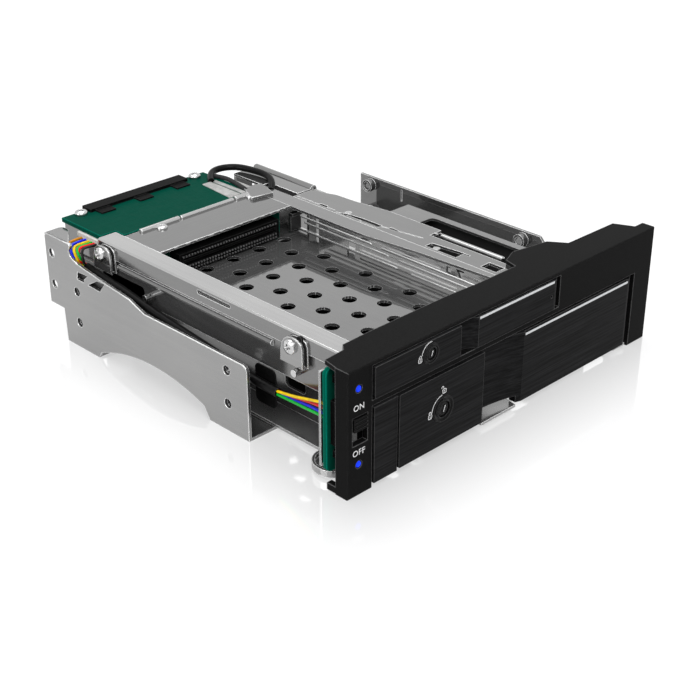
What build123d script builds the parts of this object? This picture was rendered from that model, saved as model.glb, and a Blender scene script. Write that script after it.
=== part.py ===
from build123d import *
from math import cos, radians, sin, tan
import os

os.makedirs("parts", exist_ok=True)

# Hot swap drive cage for a half height 5.25 inch bay, in millimetres.
# X runs across the front, Y runs from front to rear, Z is up. The origin is under the middle.
# Depths are given behind the bezel face and turned into Y by back().

# Whole cage
bezel_width = 148.5
bezel_half = bezel_width / 2
bezel_height = 42.5
door_proud = 0.8
lock_proud = 1.5
rear_reach = 154.7
front_y = -(rear_reach - lock_proud) / 2
sheet = 1.0
touch_gap = 0.4

# Bezel
bezel_wall = 2.2
skirt_wall = 2.0
skirt_depth = 5.2
flange_thick = 1.5
rail_bottom = 28.2
rail_top = 30.0
opening_left = -bezel_half + 9.85
opening_right_25 = 22.0
opening_right_35 = bezel_half - 9.75
opening_top_25 = 41.3
rib_thick = 1.0
edge_radius = 0.6
cage_top = bezel_height - flange_thick

# Drive bays
bay_half_35 = opening_right_35 - 13.4
bay_left_25 = opening_left + 0.8
bay_right_25 = 6.6
floor_top = 2.0
deck_top = 29.8
deck_rear = rear_reach - 2.7
deck_right_rear = 38.0
deck_right_end = 95.0
deck_window_left = 24.0
deck_window_front = 16.0
deck_window_rear = 80.0
hole_radius = 2.5
hole_pitch_x = 11.95
hole_pitch_y = 10.25
hole_centre_x = -27.9
hole_first_depth = 31.6
hole_rows = 8
deck_bottom = deck_top - sheet

# Doors
door_thick = 2.4
hinge_radius = 3.2
pin_radius = 1.2
running_gap = 0.06
pivot_x_35 = opening_right_35 - 4.9
pivot_x_25 = 17.8
door_left_35 = -bay_half_35 - 2.5
scoop_left_35 = -15.5
handle_left_35 = 4.0
door_left_25 = opening_left + touch_gap
scoop_left_25 = -27.0
handle_left_25 = -19.0
door_bottom_35 = 2.4
scoop_skin = 1.8
scoop_depth = 3.4
strip_height = 0.8
door_corner = 0.5
strip_thick = 0.5
door_back = door_thick - door_proud
pivot_depth = hinge_radius - door_proud
door_top_35 = rail_bottom - 0.6
door_bottom_25 = rail_top + 0.5
door_top_25 = opening_top_25 - touch_gap

# Crank pins that drive the ejectors
crank_35 = 4.4
crank_25 = 3.6
crank_phase = 45
drive_pin_radius_35 = 1.0
drive_pin_radius_25 = 0.9
slot_gap = 0.4
ear_thick = 1.9

# Locks
lock_x_35 = -34.4
lock_z_35 = 15.4
lock_x_25 = -40.7
lock_z_25 = 36.7
ring_radius_35 = 4.6
ring_radius_25 = 3.5
lock_throw = 95
cam_thick = 1.0

# Side brackets
bracket_face = bezel_half - 1.25
bracket_sheet = 1.2
side_hole_radius = 1.6
side_hole_low = 10.0
side_hole_high = 21.84
side_hole_front = 54.7
side_hole_pitch = 79.25
collar_radius = 2.6
collar_length = 2.6
bracket_front = 45.0
bracket_rear_left = rear_reach - 3.7
bracket_rear_right = side_hole_front + side_hole_pitch + 6.05
bracket_top_left = 26.6
bracket_top_right = 25.2
foot_width = 16.0
arch_front = bracket_front + 19
arch_rear = side_hole_front + side_hole_pitch - 9.95
arch_top = 8.6

# Rear boards
board_thick = 1.6
bridge_rear = rear_reach - 25.3
bridge_front = bridge_rear - 24.4
shelf_top = 39.6
shelf_right = 5.0
backplane_depth_35 = rear_reach - 2.5
backplane_depth_25 = bridge_front + 5.2

# Front control board and switch
board_front = 9.6
board_left = -bezel_half + 0.85
led_x = -bezel_half + 4.45
led_high = 36.0
led_low = 10.8
led_radius = 1.1
switch_left = -bezel_half + 1.85
switch_right = switch_left + 6.2
window_low = 17.6
window_high = 27.0
switch_travel = 4.4
boss_x = -bezel_half + 6.95
boss_high = 31.0
boss_low = 7.4
boss_radius = 1.3

# Cables
sleeve_radius = 1.6
wire_radius = 0.5
loop_radius = 1.6
cord_sides = 8


def back(depth):
    """Y of a point that lies depth behind the bezel face."""
    return front_y + depth


def slab(x0, x1, depth0, depth1, z0, z1, mode=Mode.ADD):
    """Square block between two corners."""
    with Locations(((x0 + x1) / 2, back((depth0 + depth1) / 2), (z0 + z1) / 2)):
        Box(x1 - x0, depth1 - depth0, z1 - z0, mode=mode)


def cross_plane(depth):
    """Plane across the cage at a depth, X to the right and Z up, facing the front."""
    return Plane.XZ.offset(-back(depth))


def bore_y(x, z, radius, depth0, depth1, mode=Mode.SUBTRACT):
    """Round bar or bore along Y."""
    with BuildSketch(cross_plane(depth1)) as round_face:
        with Locations((x, z)):
            Circle(radius)
    extrude(round_face.sketch, amount=depth1 - depth0, mode=mode)


def bore_z(x, depth, radius, z0, z1, mode=Mode.SUBTRACT):
    """Round bar or bore along Z."""
    with BuildSketch(Plane.XY.offset(z0)) as round_face:
        with Locations((x, back(depth))):
            Circle(radius)
    extrude(round_face.sketch, amount=z1 - z0, mode=mode)


def bore_x(depth, z, radius, x0, x1, mode=Mode.SUBTRACT):
    """Round bar or bore along X."""
    with BuildSketch(Plane.YZ.offset(x0)) as round_face:
        with Locations((back(depth), z)):
            Circle(radius)
    extrude(round_face.sketch, amount=x1 - x0, mode=mode)


def plan(points):
    """Closed outline seen from above, given as X and depth."""
    with BuildLine() as outline:
        Polyline(*[(x, back(depth)) for x, depth in points], close=True)
    make_face(outline.edges())


def finish(piece, name):
    """Name a piece and write it."""
    piece.part.label = name
    export_step(piece.part, f"parts/{name}.step")


# Front bezel: shallow tray with two door openings, a switch window and a top flange
with BuildPart() as front_bezel:
    slab(-bezel_half, bezel_half, 0, skirt_depth, 0, bezel_height)
    fillet(front_bezel.edges().group_by(Axis.Y)[0], edge_radius)
    slab(-bezel_half + skirt_wall, bezel_half - skirt_wall, bezel_wall, skirt_depth, skirt_wall, cage_top,
         Mode.SUBTRACT)
    slab(opening_left - rib_thick, opening_left, bezel_wall, skirt_depth, skirt_wall, cage_top)
    slab(opening_right_35, opening_right_35 + rib_thick, bezel_wall, skirt_depth, skirt_wall, cage_top)
    slab(opening_right_25, opening_right_25 + rib_thick, bezel_wall, skirt_depth, rail_top, cage_top)
    slab(opening_left, opening_right_35, -1, skirt_depth, -1, rail_bottom, Mode.SUBTRACT)
    slab(opening_left, opening_right_25, -1, bezel_wall, rail_top, opening_top_25, Mode.SUBTRACT)
    slab(opening_left, opening_right_35, bezel_wall, skirt_depth, rail_bottom, rail_top)
    with BuildSketch(Plane.XY.offset(cage_top)):
        middle = opening_right_25
        plan([(-bezel_half, skirt_depth - 1), (-bezel_half + 1.2, 10.5), (-bezel_half + 9.3, 11.2),
              (-bezel_half + 11.3, 13.6), (-bezel_half + 21.3, 14), (middle - 39, 14), (middle - 25, 13.2),
              (middle - 7, 13.2), (middle - 5.4, 18.4), (middle + 1.1, 21.1), (middle + 16, 18.5),
              (middle + 20.2, 12.6), (bezel_half - 7.75, 12.2), (bezel_half - 4.45, skirt_depth),
              (bezel_half, skirt_depth - 1)])
    extrude(amount=flange_thick)
    slab(switch_left, switch_right, -1, bezel_wall, window_low, window_high, Mode.SUBTRACT)
    for led_z in (led_high, led_low):
        bore_y(led_x, led_z, led_radius + 0.2, -1, bezel_wall)
    for boss_z in (boss_high, boss_low):
        bore_y(boss_x, boss_z, boss_radius, bezel_wall, board_front, Mode.ADD)
    slab(-bezel_half, -bezel_half + skirt_wall, skirt_depth, 8.8, 0.3, 2.6)
    bore_z(pivot_x_35, pivot_depth, pin_radius, rail_bottom - 1, rail_top - 0.6)
    bore_z(pivot_x_25, pivot_depth, pin_radius, rail_top - 0.8, rail_top + 1)
    bore_z(pivot_x_25, pivot_depth, pin_radius, cage_top - 1, cage_top + 0.8)
finish(front_bezel, "front_bezel")

# Fixed panel left of the lower door
with BuildPart() as fixed_panel:
    slab(opening_left, door_left_35 - touch_gap, 1.4, bezel_wall, 1.7, rail_bottom)
    slab(opening_left + 0.6, door_left_35 - touch_gap, -0.4, 1.4, 1.7, rail_bottom - 0.7)
finish(fixed_panel, "fixed_panel")


def door(pivot_x, left, scoop_left, handle_left, z0, z1):
    """Door moulding in plan: lock panel, finger scoop, handle and round hinge end."""
    face = -door_proud
    deep = scoop_depth + face
    with BuildSketch(Plane.XY.offset(z0)) as profile:
        with BuildLine():
            l1 = Line((left, back(face)), (scoop_left, back(face)))
            l2 = Line(l1 @ 1, (scoop_left, back(deep)))
            span = handle_left - scoop_left
            a1 = ThreePointArc(l2 @ 1, (scoop_left + span * 0.45, back(deep - 0.6)), (handle_left, back(face)))
            l3 = Line(a1 @ 1, (pivot_x, back(face)))
            l4 = Line(l3 @ 1, (pivot_x, back(door_back)))
            l5 = Line(l4 @ 1, (handle_left + scoop_skin, back(door_back)))
            a2 = ThreePointArc(l5 @ 1, (scoop_left + span * 0.45, back(deep + scoop_skin - 0.5)),
                               (scoop_left - scoop_skin, back(deep + scoop_skin)))
            l6 = Line(a2 @ 1, (scoop_left - scoop_skin, back(door_back)))
            l7 = Line(l6 @ 1, (left, back(door_back)))
            Line(l7 @ 1, l1 @ 0)
        make_face()
        with Locations((pivot_x, back(pivot_depth))):
            Circle(hinge_radius)
    extrude(profile.sketch, amount=z1 - z0)
    bore_z(pivot_x, pivot_depth, pin_radius + running_gap, z0 - 1, z1 + 1)


def crank(pivot_x, radius, drive_pin_radius, z_ear, z_tip, z_notch):
    """Ear with the crank pin that drives the ejector, and the hinge notch that clears the slide."""
    slab(pivot_x - hinge_radius - 1, pivot_x + hinge_radius + 1, door_back, pivot_depth + hinge_radius + 1,
         min(z_ear, z_notch), max(z_ear, z_notch), Mode.SUBTRACT)
    reach = radius * cos(radians(crank_phase))
    pin_x, pin_depth = pivot_x - reach, pivot_depth + reach
    ear_low = z_ear if z_ear > z_notch else z_ear - ear_thick
    with BuildSketch(Plane.XY.offset(ear_low)) as ear:
        with Locations((pivot_x, back(pivot_depth))):
            Circle(hinge_radius)
        with Locations((pin_x, back(pin_depth))):
            Circle(drive_pin_radius + 0.9)
        make_hull()
        with Locations((pivot_x, back(pivot_depth))):
            Circle(pin_radius + running_gap, mode=Mode.SUBTRACT)
    extrude(ear.sketch, amount=ear_thick)
    bore_z(pin_x, pin_depth, drive_pin_radius, min(z_ear, z_tip), max(z_ear, z_tip), Mode.ADD)


def corner_rounds(piece, radius):
    """Round the two corners at the free end of a door."""
    ends = piece.edges().filter_by(Axis.Y).group_by(Axis.X)[0]
    fillet(ends, radius)


# Lower door for the 3.5 inch bay
slide_top_35 = 19.8
slide_thick = 1.2
with BuildPart() as door_35:
    door(pivot_x_35, door_left_35, scoop_left_35, handle_left_35, door_bottom_35, door_top_35)
    slab(scoop_left_35, handle_left_35 - 2, -2, 6, 0, 4.8, Mode.SUBTRACT)
    crank(pivot_x_35, crank_35, drive_pin_radius_35, slide_top_35 + 1.4, slide_top_35 - slide_thick - 0.8,
          slide_top_35 - slide_thick - 1.2)
    corner_rounds(door_35, door_corner)
    bore_y(lock_x_35, lock_z_35, ring_radius_35 - 1.0, -3, 3)
    slab(handle_left_35 + 0.4, pivot_x_35, -2, -door_proud + strip_thick, door_top_35 - strip_height - 0.5,
         door_top_35 + 1, Mode.SUBTRACT)
finish(door_35, "door_35")

# Upper door for the 2.5 inch bay
slide_top_25 = 37.8
with BuildPart() as door_25:
    door(pivot_x_25, door_left_25, scoop_left_25, handle_left_25, door_bottom_25, door_top_25)
    crank(pivot_x_25, crank_25, drive_pin_radius_25, slide_top_25 - slide_thick - 1.4, slide_top_25 + 0.8,
          slide_top_25 + 1.2)
    corner_rounds(door_25, door_corner)
    bore_y(lock_x_25, lock_z_25, ring_radius_25 - 0.8, -3, 3)
    slab(handle_left_25 + 0.4, pivot_x_25, -2, -door_proud + strip_thick, door_top_25 - strip_height,
         door_top_25 + 1, Mode.SUBTRACT)
    bore_y(16.7, 35.6, 0.5, -3, 0.4)
finish(door_25, "door_25")

# Bright strip along the top edge of each handle
with BuildPart() as handle_strip_35:
    slab(handle_left_35 + 0.4, pivot_x_35, -door_proud, -door_proud + strip_thick,
         door_top_35 - strip_height - 0.5, door_top_35 - 0.5)
finish(handle_strip_35, "handle_strip_35")

with BuildPart() as handle_strip_25:
    slab(handle_left_25 + 0.4, pivot_x_25, -door_proud, -door_proud + strip_thick,
         door_top_25 - strip_height, door_top_25)
finish(handle_strip_25, "handle_strip_25")


def lock_ring(x, z, radius, wall):
    """Lock housing: a raised ring on the door face and a sleeve through it."""
    bore_y(x, z, radius, -door_proud - 0.5, -door_proud, Mode.ADD)
    bore_y(x, z, radius - wall, -door_proud, door_back + 0.5, Mode.ADD)
    bore_y(x, z, radius - 2 * wall, -4, 4)


def lock_rotor(x, z, radius, wall):
    """Rotor of the lock with its key slot and a square tail for the cam."""
    bore_y(x, z, radius - 2 * wall - running_gap, -1.5, door_back + 0.8, Mode.ADD)
    slot_length = 1.3 * (radius - 2 * wall)
    with BuildSketch(cross_plane(-0.6)) as key_slot:
        with Locations((x, z)):
            Rectangle(0.8, slot_length, rotation=-20)
    extrude(key_slot.sketch, amount=2, mode=Mode.SUBTRACT)


def lock_cam(x, z, hub, arm, locked_angle):
    """Flat cam behind the door, stored unlocked: it turns by lock_throw to its locked angle."""
    rest_angle = radians(locked_angle - lock_throw)
    tip = (x + (arm - 1.6) * cos(rest_angle), z + (arm - 1.6) * sin(rest_angle))
    with BuildSketch(cross_plane(door_back + 0.8 + cam_thick)) as cam:
        with Locations((x, z)):
            Circle(hub)
        with Locations(tip):
            Circle(1.6)
        make_hull()
    extrude(cam.sketch, amount=cam_thick)


with BuildPart() as lock_ring_35:
    lock_ring(lock_x_35, lock_z_35, ring_radius_35, 1.0)
finish(lock_ring_35, "lock_ring_35")

with BuildPart() as lock_rotor_35:
    lock_rotor(lock_x_35, lock_z_35, ring_radius_35, 1.0)
finish(lock_rotor_35, "lock_rotor_35")

with BuildPart() as lock_cam_35:
    lock_cam(lock_x_35, lock_z_35, 3.0, rail_bottom - touch_gap - lock_z_35, 90)
finish(lock_cam_35, "lock_cam_35")

with BuildPart() as lock_ring_25:
    lock_ring(lock_x_25, lock_z_25, ring_radius_25, 0.8)
finish(lock_ring_25, "lock_ring_25")

with BuildPart() as lock_rotor_25:
    lock_rotor(lock_x_25, lock_z_25, ring_radius_25, 0.8)
finish(lock_rotor_25, "lock_rotor_25")

with BuildPart() as lock_cam_25:
    lock_cam(lock_x_25, lock_z_25, 2.2, lock_z_25 - rail_top - touch_gap, -90)
finish(lock_cam_25, "lock_cam_25")

# Hinge pins
with BuildPart() as hinge_pin_35:
    bore_z(pivot_x_35, pivot_depth, pin_radius, floor_top - sheet, rail_top - 0.6, Mode.ADD)
finish(hinge_pin_35, "hinge_pin_35")

with BuildPart() as hinge_pin_25:
    bore_z(pivot_x_25, pivot_depth, pin_radius, rail_top - 0.8, cage_top + 0.8, Mode.ADD)
finish(hinge_pin_25, "hinge_pin_25")

# Ejector of the 3.5 inch bay: a strip outside the right wall, a slotted tab and a rear finger
travel_35 = 2 * crank_35 * sin(radians(crank_phase))
travel_25 = 2 * crank_25 * sin(radians(crank_phase))
slide_x_35 = bay_half_35 + sheet + touch_gap
guide_z_35 = slide_top_35 - 3.3
guide_radius = 1.5
guide_head = 2.6
guide_depths_35 = (40.0, rear_reach - 34.7)
crank_reach_35 = crank_35 * cos(radians(crank_phase))
slot_depth_35 = pivot_depth + crank_reach_35
finger_depth_35 = backplane_depth_35 - 0.4
with BuildPart() as ejector_slide_35:
    slab(slide_x_35, slide_x_35 + slide_thick, 10, finger_depth_35 + 1.5, slide_top_35 - 6.6, slide_top_35)
    slab(slide_x_35, pivot_x_35 - 2.4, door_back + 1.0, 14, slide_top_35 - slide_thick, slide_top_35)
    slot_half = drive_pin_radius_35 + slot_gap
    slab(pivot_x_35 - crank_35 - slot_half, pivot_x_35, slot_depth_35 - slot_half, slot_depth_35 + slot_half,
         slide_top_35 - slide_thick - 1, slide_top_35 + 1, Mode.SUBTRACT)
    slab(bay_half_35 - 5, slide_x_35 + slide_thick, finger_depth_35, finger_depth_35 + 1.5,
         slide_top_35 - 6.6, slide_top_35)
    for guide_depth in guide_depths_35:
        with BuildSketch(Plane.YZ.offset(slide_x_35)):
            with Locations((back(guide_depth + travel_35 / 2), guide_z_35)):
                SlotCenterToCenter(travel_35 + 0.6, 2 * (guide_radius + 0.3))
        extrude(amount=slide_thick, mode=Mode.SUBTRACT)
finish(ejector_slide_35, "ejector_slide_35")

# Ejector of the 2.5 inch bay: a flat strip under the right deck, with a roller and a round push rod
slide_left_25 = bay_right_25 + sheet + 1.0
slide_right_25 = slide_left_25 + 5.2
rod_x = 22.5
rod_radius = 1.0
rod_front = 24.0
rod_rear = 62.0
roller_x = 10.6
roller_depth = 43.4
roller_radius = 1.3
guide_x_25 = (slide_left_25 + slide_right_25) / 2
guide_depth_25 = 86.0
guide_radius_25 = 1.1
finger_depth_25 = 105.4
crank_reach_25 = crank_25 * cos(radians(crank_phase))
slot_depth_25 = pivot_depth + crank_reach_25
with BuildPart() as ejector_slide_25:
    with BuildSketch(Plane.XY.offset(slide_top_25 - slide_thick)):
        plan([(slide_left_25, 10), (slide_left_25, finger_depth_25 - 1), (bay_right_25 - 5.4, finger_depth_25 - 1),
              (bay_right_25 - 5.4, finger_depth_25 + 1.2), (slide_right_25, finger_depth_25 + 1.2),
              (slide_right_25, 64), (rod_x + rod_radius, 64), (rod_x + rod_radius, 53),
              (slide_right_25, 53), (slide_right_25, 14), (pivot_x_25 - 1.8, 12),
              (pivot_x_25 - 1.8, door_back + 1.0), (slide_left_25 + 2, door_back + 1.0)])
        slot_half = drive_pin_radius_25 + slot_gap
        slot_left = pivot_x_25 - crank_25 - slot_half
        with Locations(((slot_left + pivot_x_25) / 2, back(slot_depth_25))):
            Rectangle(pivot_x_25 - slot_left, 2 * slot_half, mode=Mode.SUBTRACT)
        with Locations((guide_x_25, back(guide_depth_25 + travel_25 / 2))):
            SlotCenterToCenter(travel_25 + 0.6, 2 * (guide_radius_25 + 0.3), rotation=90, mode=Mode.SUBTRACT)
    extrude(amount=slide_thick)
    slab(bay_right_25 - 5.4, bay_right_25 - touch_gap, finger_depth_25, finger_depth_25 + 1.2,
         deck_top + 1, slide_top_25 - slide_thick)
finish(ejector_slide_25, "ejector_slide_25")

with BuildPart() as ejector_rod_25:
    bore_y(rod_x, slide_top_25 + rod_radius, rod_radius, rod_front, rod_rear, Mode.ADD)
    chamfer(ejector_rod_25.edges().group_by(Axis.Y)[0], 0.4)
finish(ejector_rod_25, "ejector_rod_25")

with BuildPart() as ejector_roller_25:
    bore_z(roller_x, roller_depth, roller_radius, slide_top_25, cage_top - 0.3, Mode.ADD)
finish(ejector_roller_25, "ejector_roller_25")

# Guide rivets that hold both ejectors to the cage
with BuildPart() as guide_rivets:
    for guide_depth in guide_depths_35:
        bore_x(guide_depth, guide_z_35, guide_radius, bay_half_35, slide_x_35 + slide_thick + 1.4, Mode.ADD)
        bore_x(guide_depth, guide_z_35, guide_head, slide_x_35 + slide_thick + 0.6,
               slide_x_35 + slide_thick + 1.6, Mode.ADD)
    bore_z(guide_x_25, guide_depth_25, guide_radius_25, slide_top_25 - slide_thick - 1.4, cage_top, Mode.ADD)
    bore_z(guide_x_25, guide_depth_25, 2.2, slide_top_25 - slide_thick - 1.4,
           slide_top_25 - slide_thick - 0.5, Mode.ADD)
finish(guide_rivets, "guide_rivets")

# Floor plate with a hinge ear, a tongue under the finger scoop and a rolled loop at the left
floor_half = bay_half_35 + 10.9
loop_left = -bezel_half + 2.75
loop_length = 17.5
loop_width = 14.0
loop_depth = 15.5
loop_rim = 1.4
loop_centre = loop_left + loop_length / 2
with BuildPart() as floor_plate:
    with BuildSketch(Plane.XY.offset(floor_top - sheet)):
        plan([(-floor_half, 6), (scoop_left_35 + 0.3, 6), (scoop_left_35 + 0.3, -door_proud + 0.2),
              (handle_left_35 - 2.4, -door_proud + 0.2), (handle_left_35 - 1, 6), (pivot_x_35 - 5.6, 6),
              (pivot_x_35 - 3.6, 0.2), (pivot_x_35 + 3, 0.2), (pivot_x_35 + 3.4, 6),
              (floor_half, 8), (floor_half, rear_reach - 0.7), (-floor_half, rear_reach - 0.7)])
        with Locations((pivot_x_35, back(pivot_depth))):
            Circle(pin_radius, mode=Mode.SUBTRACT)
        with Locations((loop_centre, back(loop_depth))):
            SlotOverall(loop_length, loop_width)
    extrude(amount=sheet)
    with BuildSketch(Plane.XY.offset(floor_top)):
        with Locations((loop_centre, back(loop_depth))):
            SlotOverall(loop_length, loop_width)
            SlotOverall(loop_length - 2 * sheet, loop_width - 2 * sheet, mode=Mode.SUBTRACT)
        with Locations((-floor_half + 6, back(loop_depth))):
            Rectangle(12, loop_width + 2, mode=Mode.SUBTRACT)
    extrude(amount=loop_rim)
finish(floor_plate, "floor_plate")

# Walls of the 3.5 inch bay
wall_front_35 = 9.0
wall_rear_35 = deck_rear - 2
wall_low_35 = 22.0
with BuildPart() as wall_35_left:
    with BuildSketch(Plane.YZ.offset(-bay_half_35 - sheet)):
        with Locations((back((wall_front_35 + wall_rear_35) / 2), (floor_top + deck_bottom) / 2)):
            RectangleRounded(wall_rear_35 - wall_front_35, deck_bottom - floor_top, 0.8)
        with Locations((back(46), 17.4)):
            RectangleRounded(9.5, 15, 1.6, mode=Mode.SUBTRACT)
    extrude(amount=sheet)
finish(wall_35_left, "wall_35_left")

with BuildPart() as wall_35_right:
    with BuildSketch(Plane.YZ.offset(bay_half_35)):
        with Locations((back((wall_front_35 + wall_rear_35) / 2), (floor_top + deck_bottom) / 2)):
            RectangleRounded(wall_rear_35 - wall_front_35, deck_bottom - floor_top, 0.8)
        for guide_depth in guide_depths_35:
            with Locations((back(guide_depth), guide_z_35)):
                Circle(guide_radius, mode=Mode.SUBTRACT)
        with Locations((back(wall_rear_35), slide_top_35 - 3.3)):
            Rectangle(11, 8, mode=Mode.SUBTRACT)
        with Locations((back((deck_right_end + wall_rear_35) / 2), (wall_low_35 + deck_top) / 2)):
            Rectangle(wall_rear_35 - deck_right_end, deck_top - wall_low_35, mode=Mode.SUBTRACT)
    extrude(amount=sheet)
finish(wall_35_right, "wall_35_right")

# Perforated deck between the two bays
with BuildPart() as perforated_deck:
    with BuildSketch(Plane.XY.offset(deck_bottom)):
        plan([(bay_left_25, skirt_depth), (bay_half_35 + sheet, skirt_depth),
              (bay_half_35 + sheet, deck_right_end), (deck_right_rear, deck_right_end),
              (deck_right_rear, deck_rear), (bay_left_25, deck_rear)])
        with Locations(((deck_window_left + bay_half_35 - 2) / 2, back((deck_window_front + deck_window_rear) / 2))):
            RectangleRounded(bay_half_35 - 2 - deck_window_left, deck_window_rear - deck_window_front, 2,
                             mode=Mode.SUBTRACT)
        for row in range(hole_rows):
            row_holes = 4 if row % 2 == 0 else 5
            with Locations((hole_centre_x, back(hole_first_depth + row * hole_pitch_y))):
                with GridLocations(hole_pitch_x, 1, row_holes, 1):
                    Circle(hole_radius, mode=Mode.SUBTRACT)
    extrude(amount=sheet)
finish(perforated_deck, "perforated_deck")

# Left wall of the upper bay with its long half round bead
upper_rear = bridge_rear + 0.2
rail_sheet = 0.8
rail_low = 35.5
bead_z = 33.2
bead_radius = 1.0
bead_front = 42.0
bead_rear = upper_rear - 10.1
with BuildPart() as upper_wall_left:
    slab(bay_left_25 - sheet, bay_left_25, 6, upper_rear, 24, cage_top - rail_sheet)
    bore_y(bay_left_25 - sheet, bead_z, bead_radius, bead_front, bead_rear, Mode.ADD)
    bore_y(bay_left_25, bead_z, bead_radius - 0.3, bead_front + 1, bead_rear - 1)
finish(upper_wall_left, "upper_wall_left")

# Left top rail: an angle over the edge of the left wall
rail_outer = bay_left_25 - sheet - rail_sheet
rail_inner = bay_left_25 + 5.6
rail_front = board_front + board_thick + touch_gap
with BuildPart() as top_rail_left:
    with BuildSketch(Plane.XZ.offset(-back(upper_rear))):
        with BuildLine():
            Polyline((rail_outer, rail_low), (rail_outer, cage_top), (rail_inner, cage_top),
                     (rail_inner, cage_top - rail_sheet), (rail_outer + rail_sheet, cage_top - rail_sheet),
                     (rail_outer + rail_sheet, rail_low), close=True)
        make_face()
    extrude(amount=upper_rear - rail_front)
    fillet(top_rail_left.edges().filter_by(Axis.Y).sort_by_distance((rail_outer, 0, cage_top))[0], 0.7)
    with BuildSketch(Plane.YZ.offset(rail_outer)):
        with Locations((back(68.8), 38.9)):
            SlotOverall(16, 1.4)
    extrude(amount=rail_sheet, mode=Mode.SUBTRACT)
finish(top_rail_left, "top_rail_left")

# Right wall of the 2.5 inch bay: flange at the top, ribs and cut outs
wall_front_25 = 8.0
wall_rear_25 = upper_rear - 1.6
flange_inner_25 = 0.8
ribs_25 = ((36.4, 37.5, 72.5, 1.5), (34.6, 36, 92, 0.9), (33.2, 34, 76, 0.9), (31.6, 30, 76, 1.4))
with BuildPart() as wall_25_right:
    slab(bay_right_25, bay_right_25 + sheet, wall_front_25, wall_rear_25, deck_top, cage_top)
    with BuildSketch(Plane.XY.offset(cage_top - sheet)):
        plan([(bay_right_25, wall_front_25), (bay_right_25 - 1, wall_front_25), (flange_inner_25 + 2.6, 45),
              (flange_inner_25, 68), (flange_inner_25, wall_rear_25), (bay_right_25, wall_rear_25)])
    extrude(amount=sheet)
    for rib_z, rib_front, rib_rear, rib_height in ribs_25:
        with BuildSketch(Plane.YZ.offset(bay_right_25 + sheet)):
            with Locations((back((rib_front + rib_rear) / 2), rib_z)):
                SlotOverall(rib_rear - rib_front, rib_height)
        extrude(amount=0.4)
        with BuildSketch(Plane.YZ.offset(bay_right_25)):
            with Locations((back((rib_front + rib_rear) / 2), rib_z)):
                SlotOverall(rib_rear - rib_front - 0.6, rib_height - 0.5)
        extrude(amount=0.5, mode=Mode.SUBTRACT)
    with BuildSketch(Plane.YZ.offset(bay_right_25)):
        for cut_depth, cut_z, cut_length, cut_height in ((80, 31.9, 4.0, 3.0), (34.3, 36.9, 2.2, 2.4)):
            with Locations((back(cut_depth), cut_z)):
                Rectangle(cut_length, cut_height)
        with Locations((back(29.3), 37.3)):
            RegularPolygon(2.2, 3, rotation=-90)
        with Locations((back((finger_depth_25 + 1.8 + 97) / 2), slide_top_25 - 0.6)):
            Rectangle(finger_depth_25 + 1.8 - 97, 2.6)
    extrude(amount=sheet, mode=Mode.SUBTRACT)
    slab(bay_right_25 - 1, bay_right_25 + sheet + 1, 96.5, finger_depth_25 + 1.8, deck_top + 0.4,
         slide_top_25 + 0.7, Mode.SUBTRACT)
finish(wall_25_right, "wall_25_right")

# Right deck at the top, with the roller slot, two slits and a rear leg
deck_right = 22.4
deck_step_right = 16.8
deck_step_depth = 52.0
side_deck_right = 18.8
deck_cut_front = [(roller_x - 1.7, roller_depth + 3.6), (roller_x - 1.7, roller_depth - 9.9),
                  (roller_x + 2, roller_depth - 9.9), (roller_x + 2, roller_depth - 12.4),
                  (roller_x + 2.8, roller_depth - 12.4), (roller_x + 2.8, roller_depth - 7.2),
                  (roller_x + 1.6, roller_depth + 3.6)]
deck_cut_rear = [(8.4, 89.5), (8.4, 84.5), (9.2, 84.5), (9.2, 77.5), (8.4, 77.5), (8.4, 69.2), (11, 69.2),
                 (11, 78), (10.2, 84.5)]
deck_left = bay_right_25 + sheet
top_deck_rear = bridge_front + 6
with BuildPart() as top_deck_right:
    with BuildSketch(Plane.XY.offset(cage_top - sheet)):
        plan([(deck_left, 6), (deck_step_right, 6), (deck_step_right, deck_step_depth),
              (deck_right, deck_step_depth), (deck_right, 76), (deck_right - 2, 92), (deck_right - 2.4, 101),
              (side_deck_right - 0.6, top_deck_rear - 5), (side_deck_right - 0.6, top_deck_rear),
              (deck_left, top_deck_rear)])
        for cut_outline in (deck_cut_front, deck_cut_rear):
            with BuildLine():
                Polyline(*[(x, back(depth)) for x, depth in cut_outline], close=True)
            make_face(mode=Mode.SUBTRACT)
        with Locations((11.6, back(19.8))):
            Rectangle(4.4, 6.4, mode=Mode.SUBTRACT)
        with Locations((guide_x_25, back(guide_depth_25))):
            Circle(guide_radius_25, mode=Mode.SUBTRACT)
        for slit_x, slit_depth in ((11.4, 64.0), (9.6, 97.0)):
            with Locations((slit_x, back(slit_depth))):
                SlotOverall(4.0, 1.0, rotation=90, mode=Mode.SUBTRACT)
    extrude(amount=sheet)
    with BuildSketch(Plane.XY.offset(cage_top - 0.4)):
        plan([(10.2, 68.6), (10.6, 68.6), (13.2, 52), (12.8, 52)])
        plan([(9.0, 91), (9.4, 91), (9.2, top_deck_rear - 1), (8.8, top_deck_rear - 1)])
    extrude(amount=1, mode=Mode.SUBTRACT)
    slab(slide_right_25 + 0.6, side_deck_right - 0.6, top_deck_rear - sheet, top_deck_rear, deck_top,
         cage_top - sheet)
finish(top_deck_right, "top_deck_right")

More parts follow.
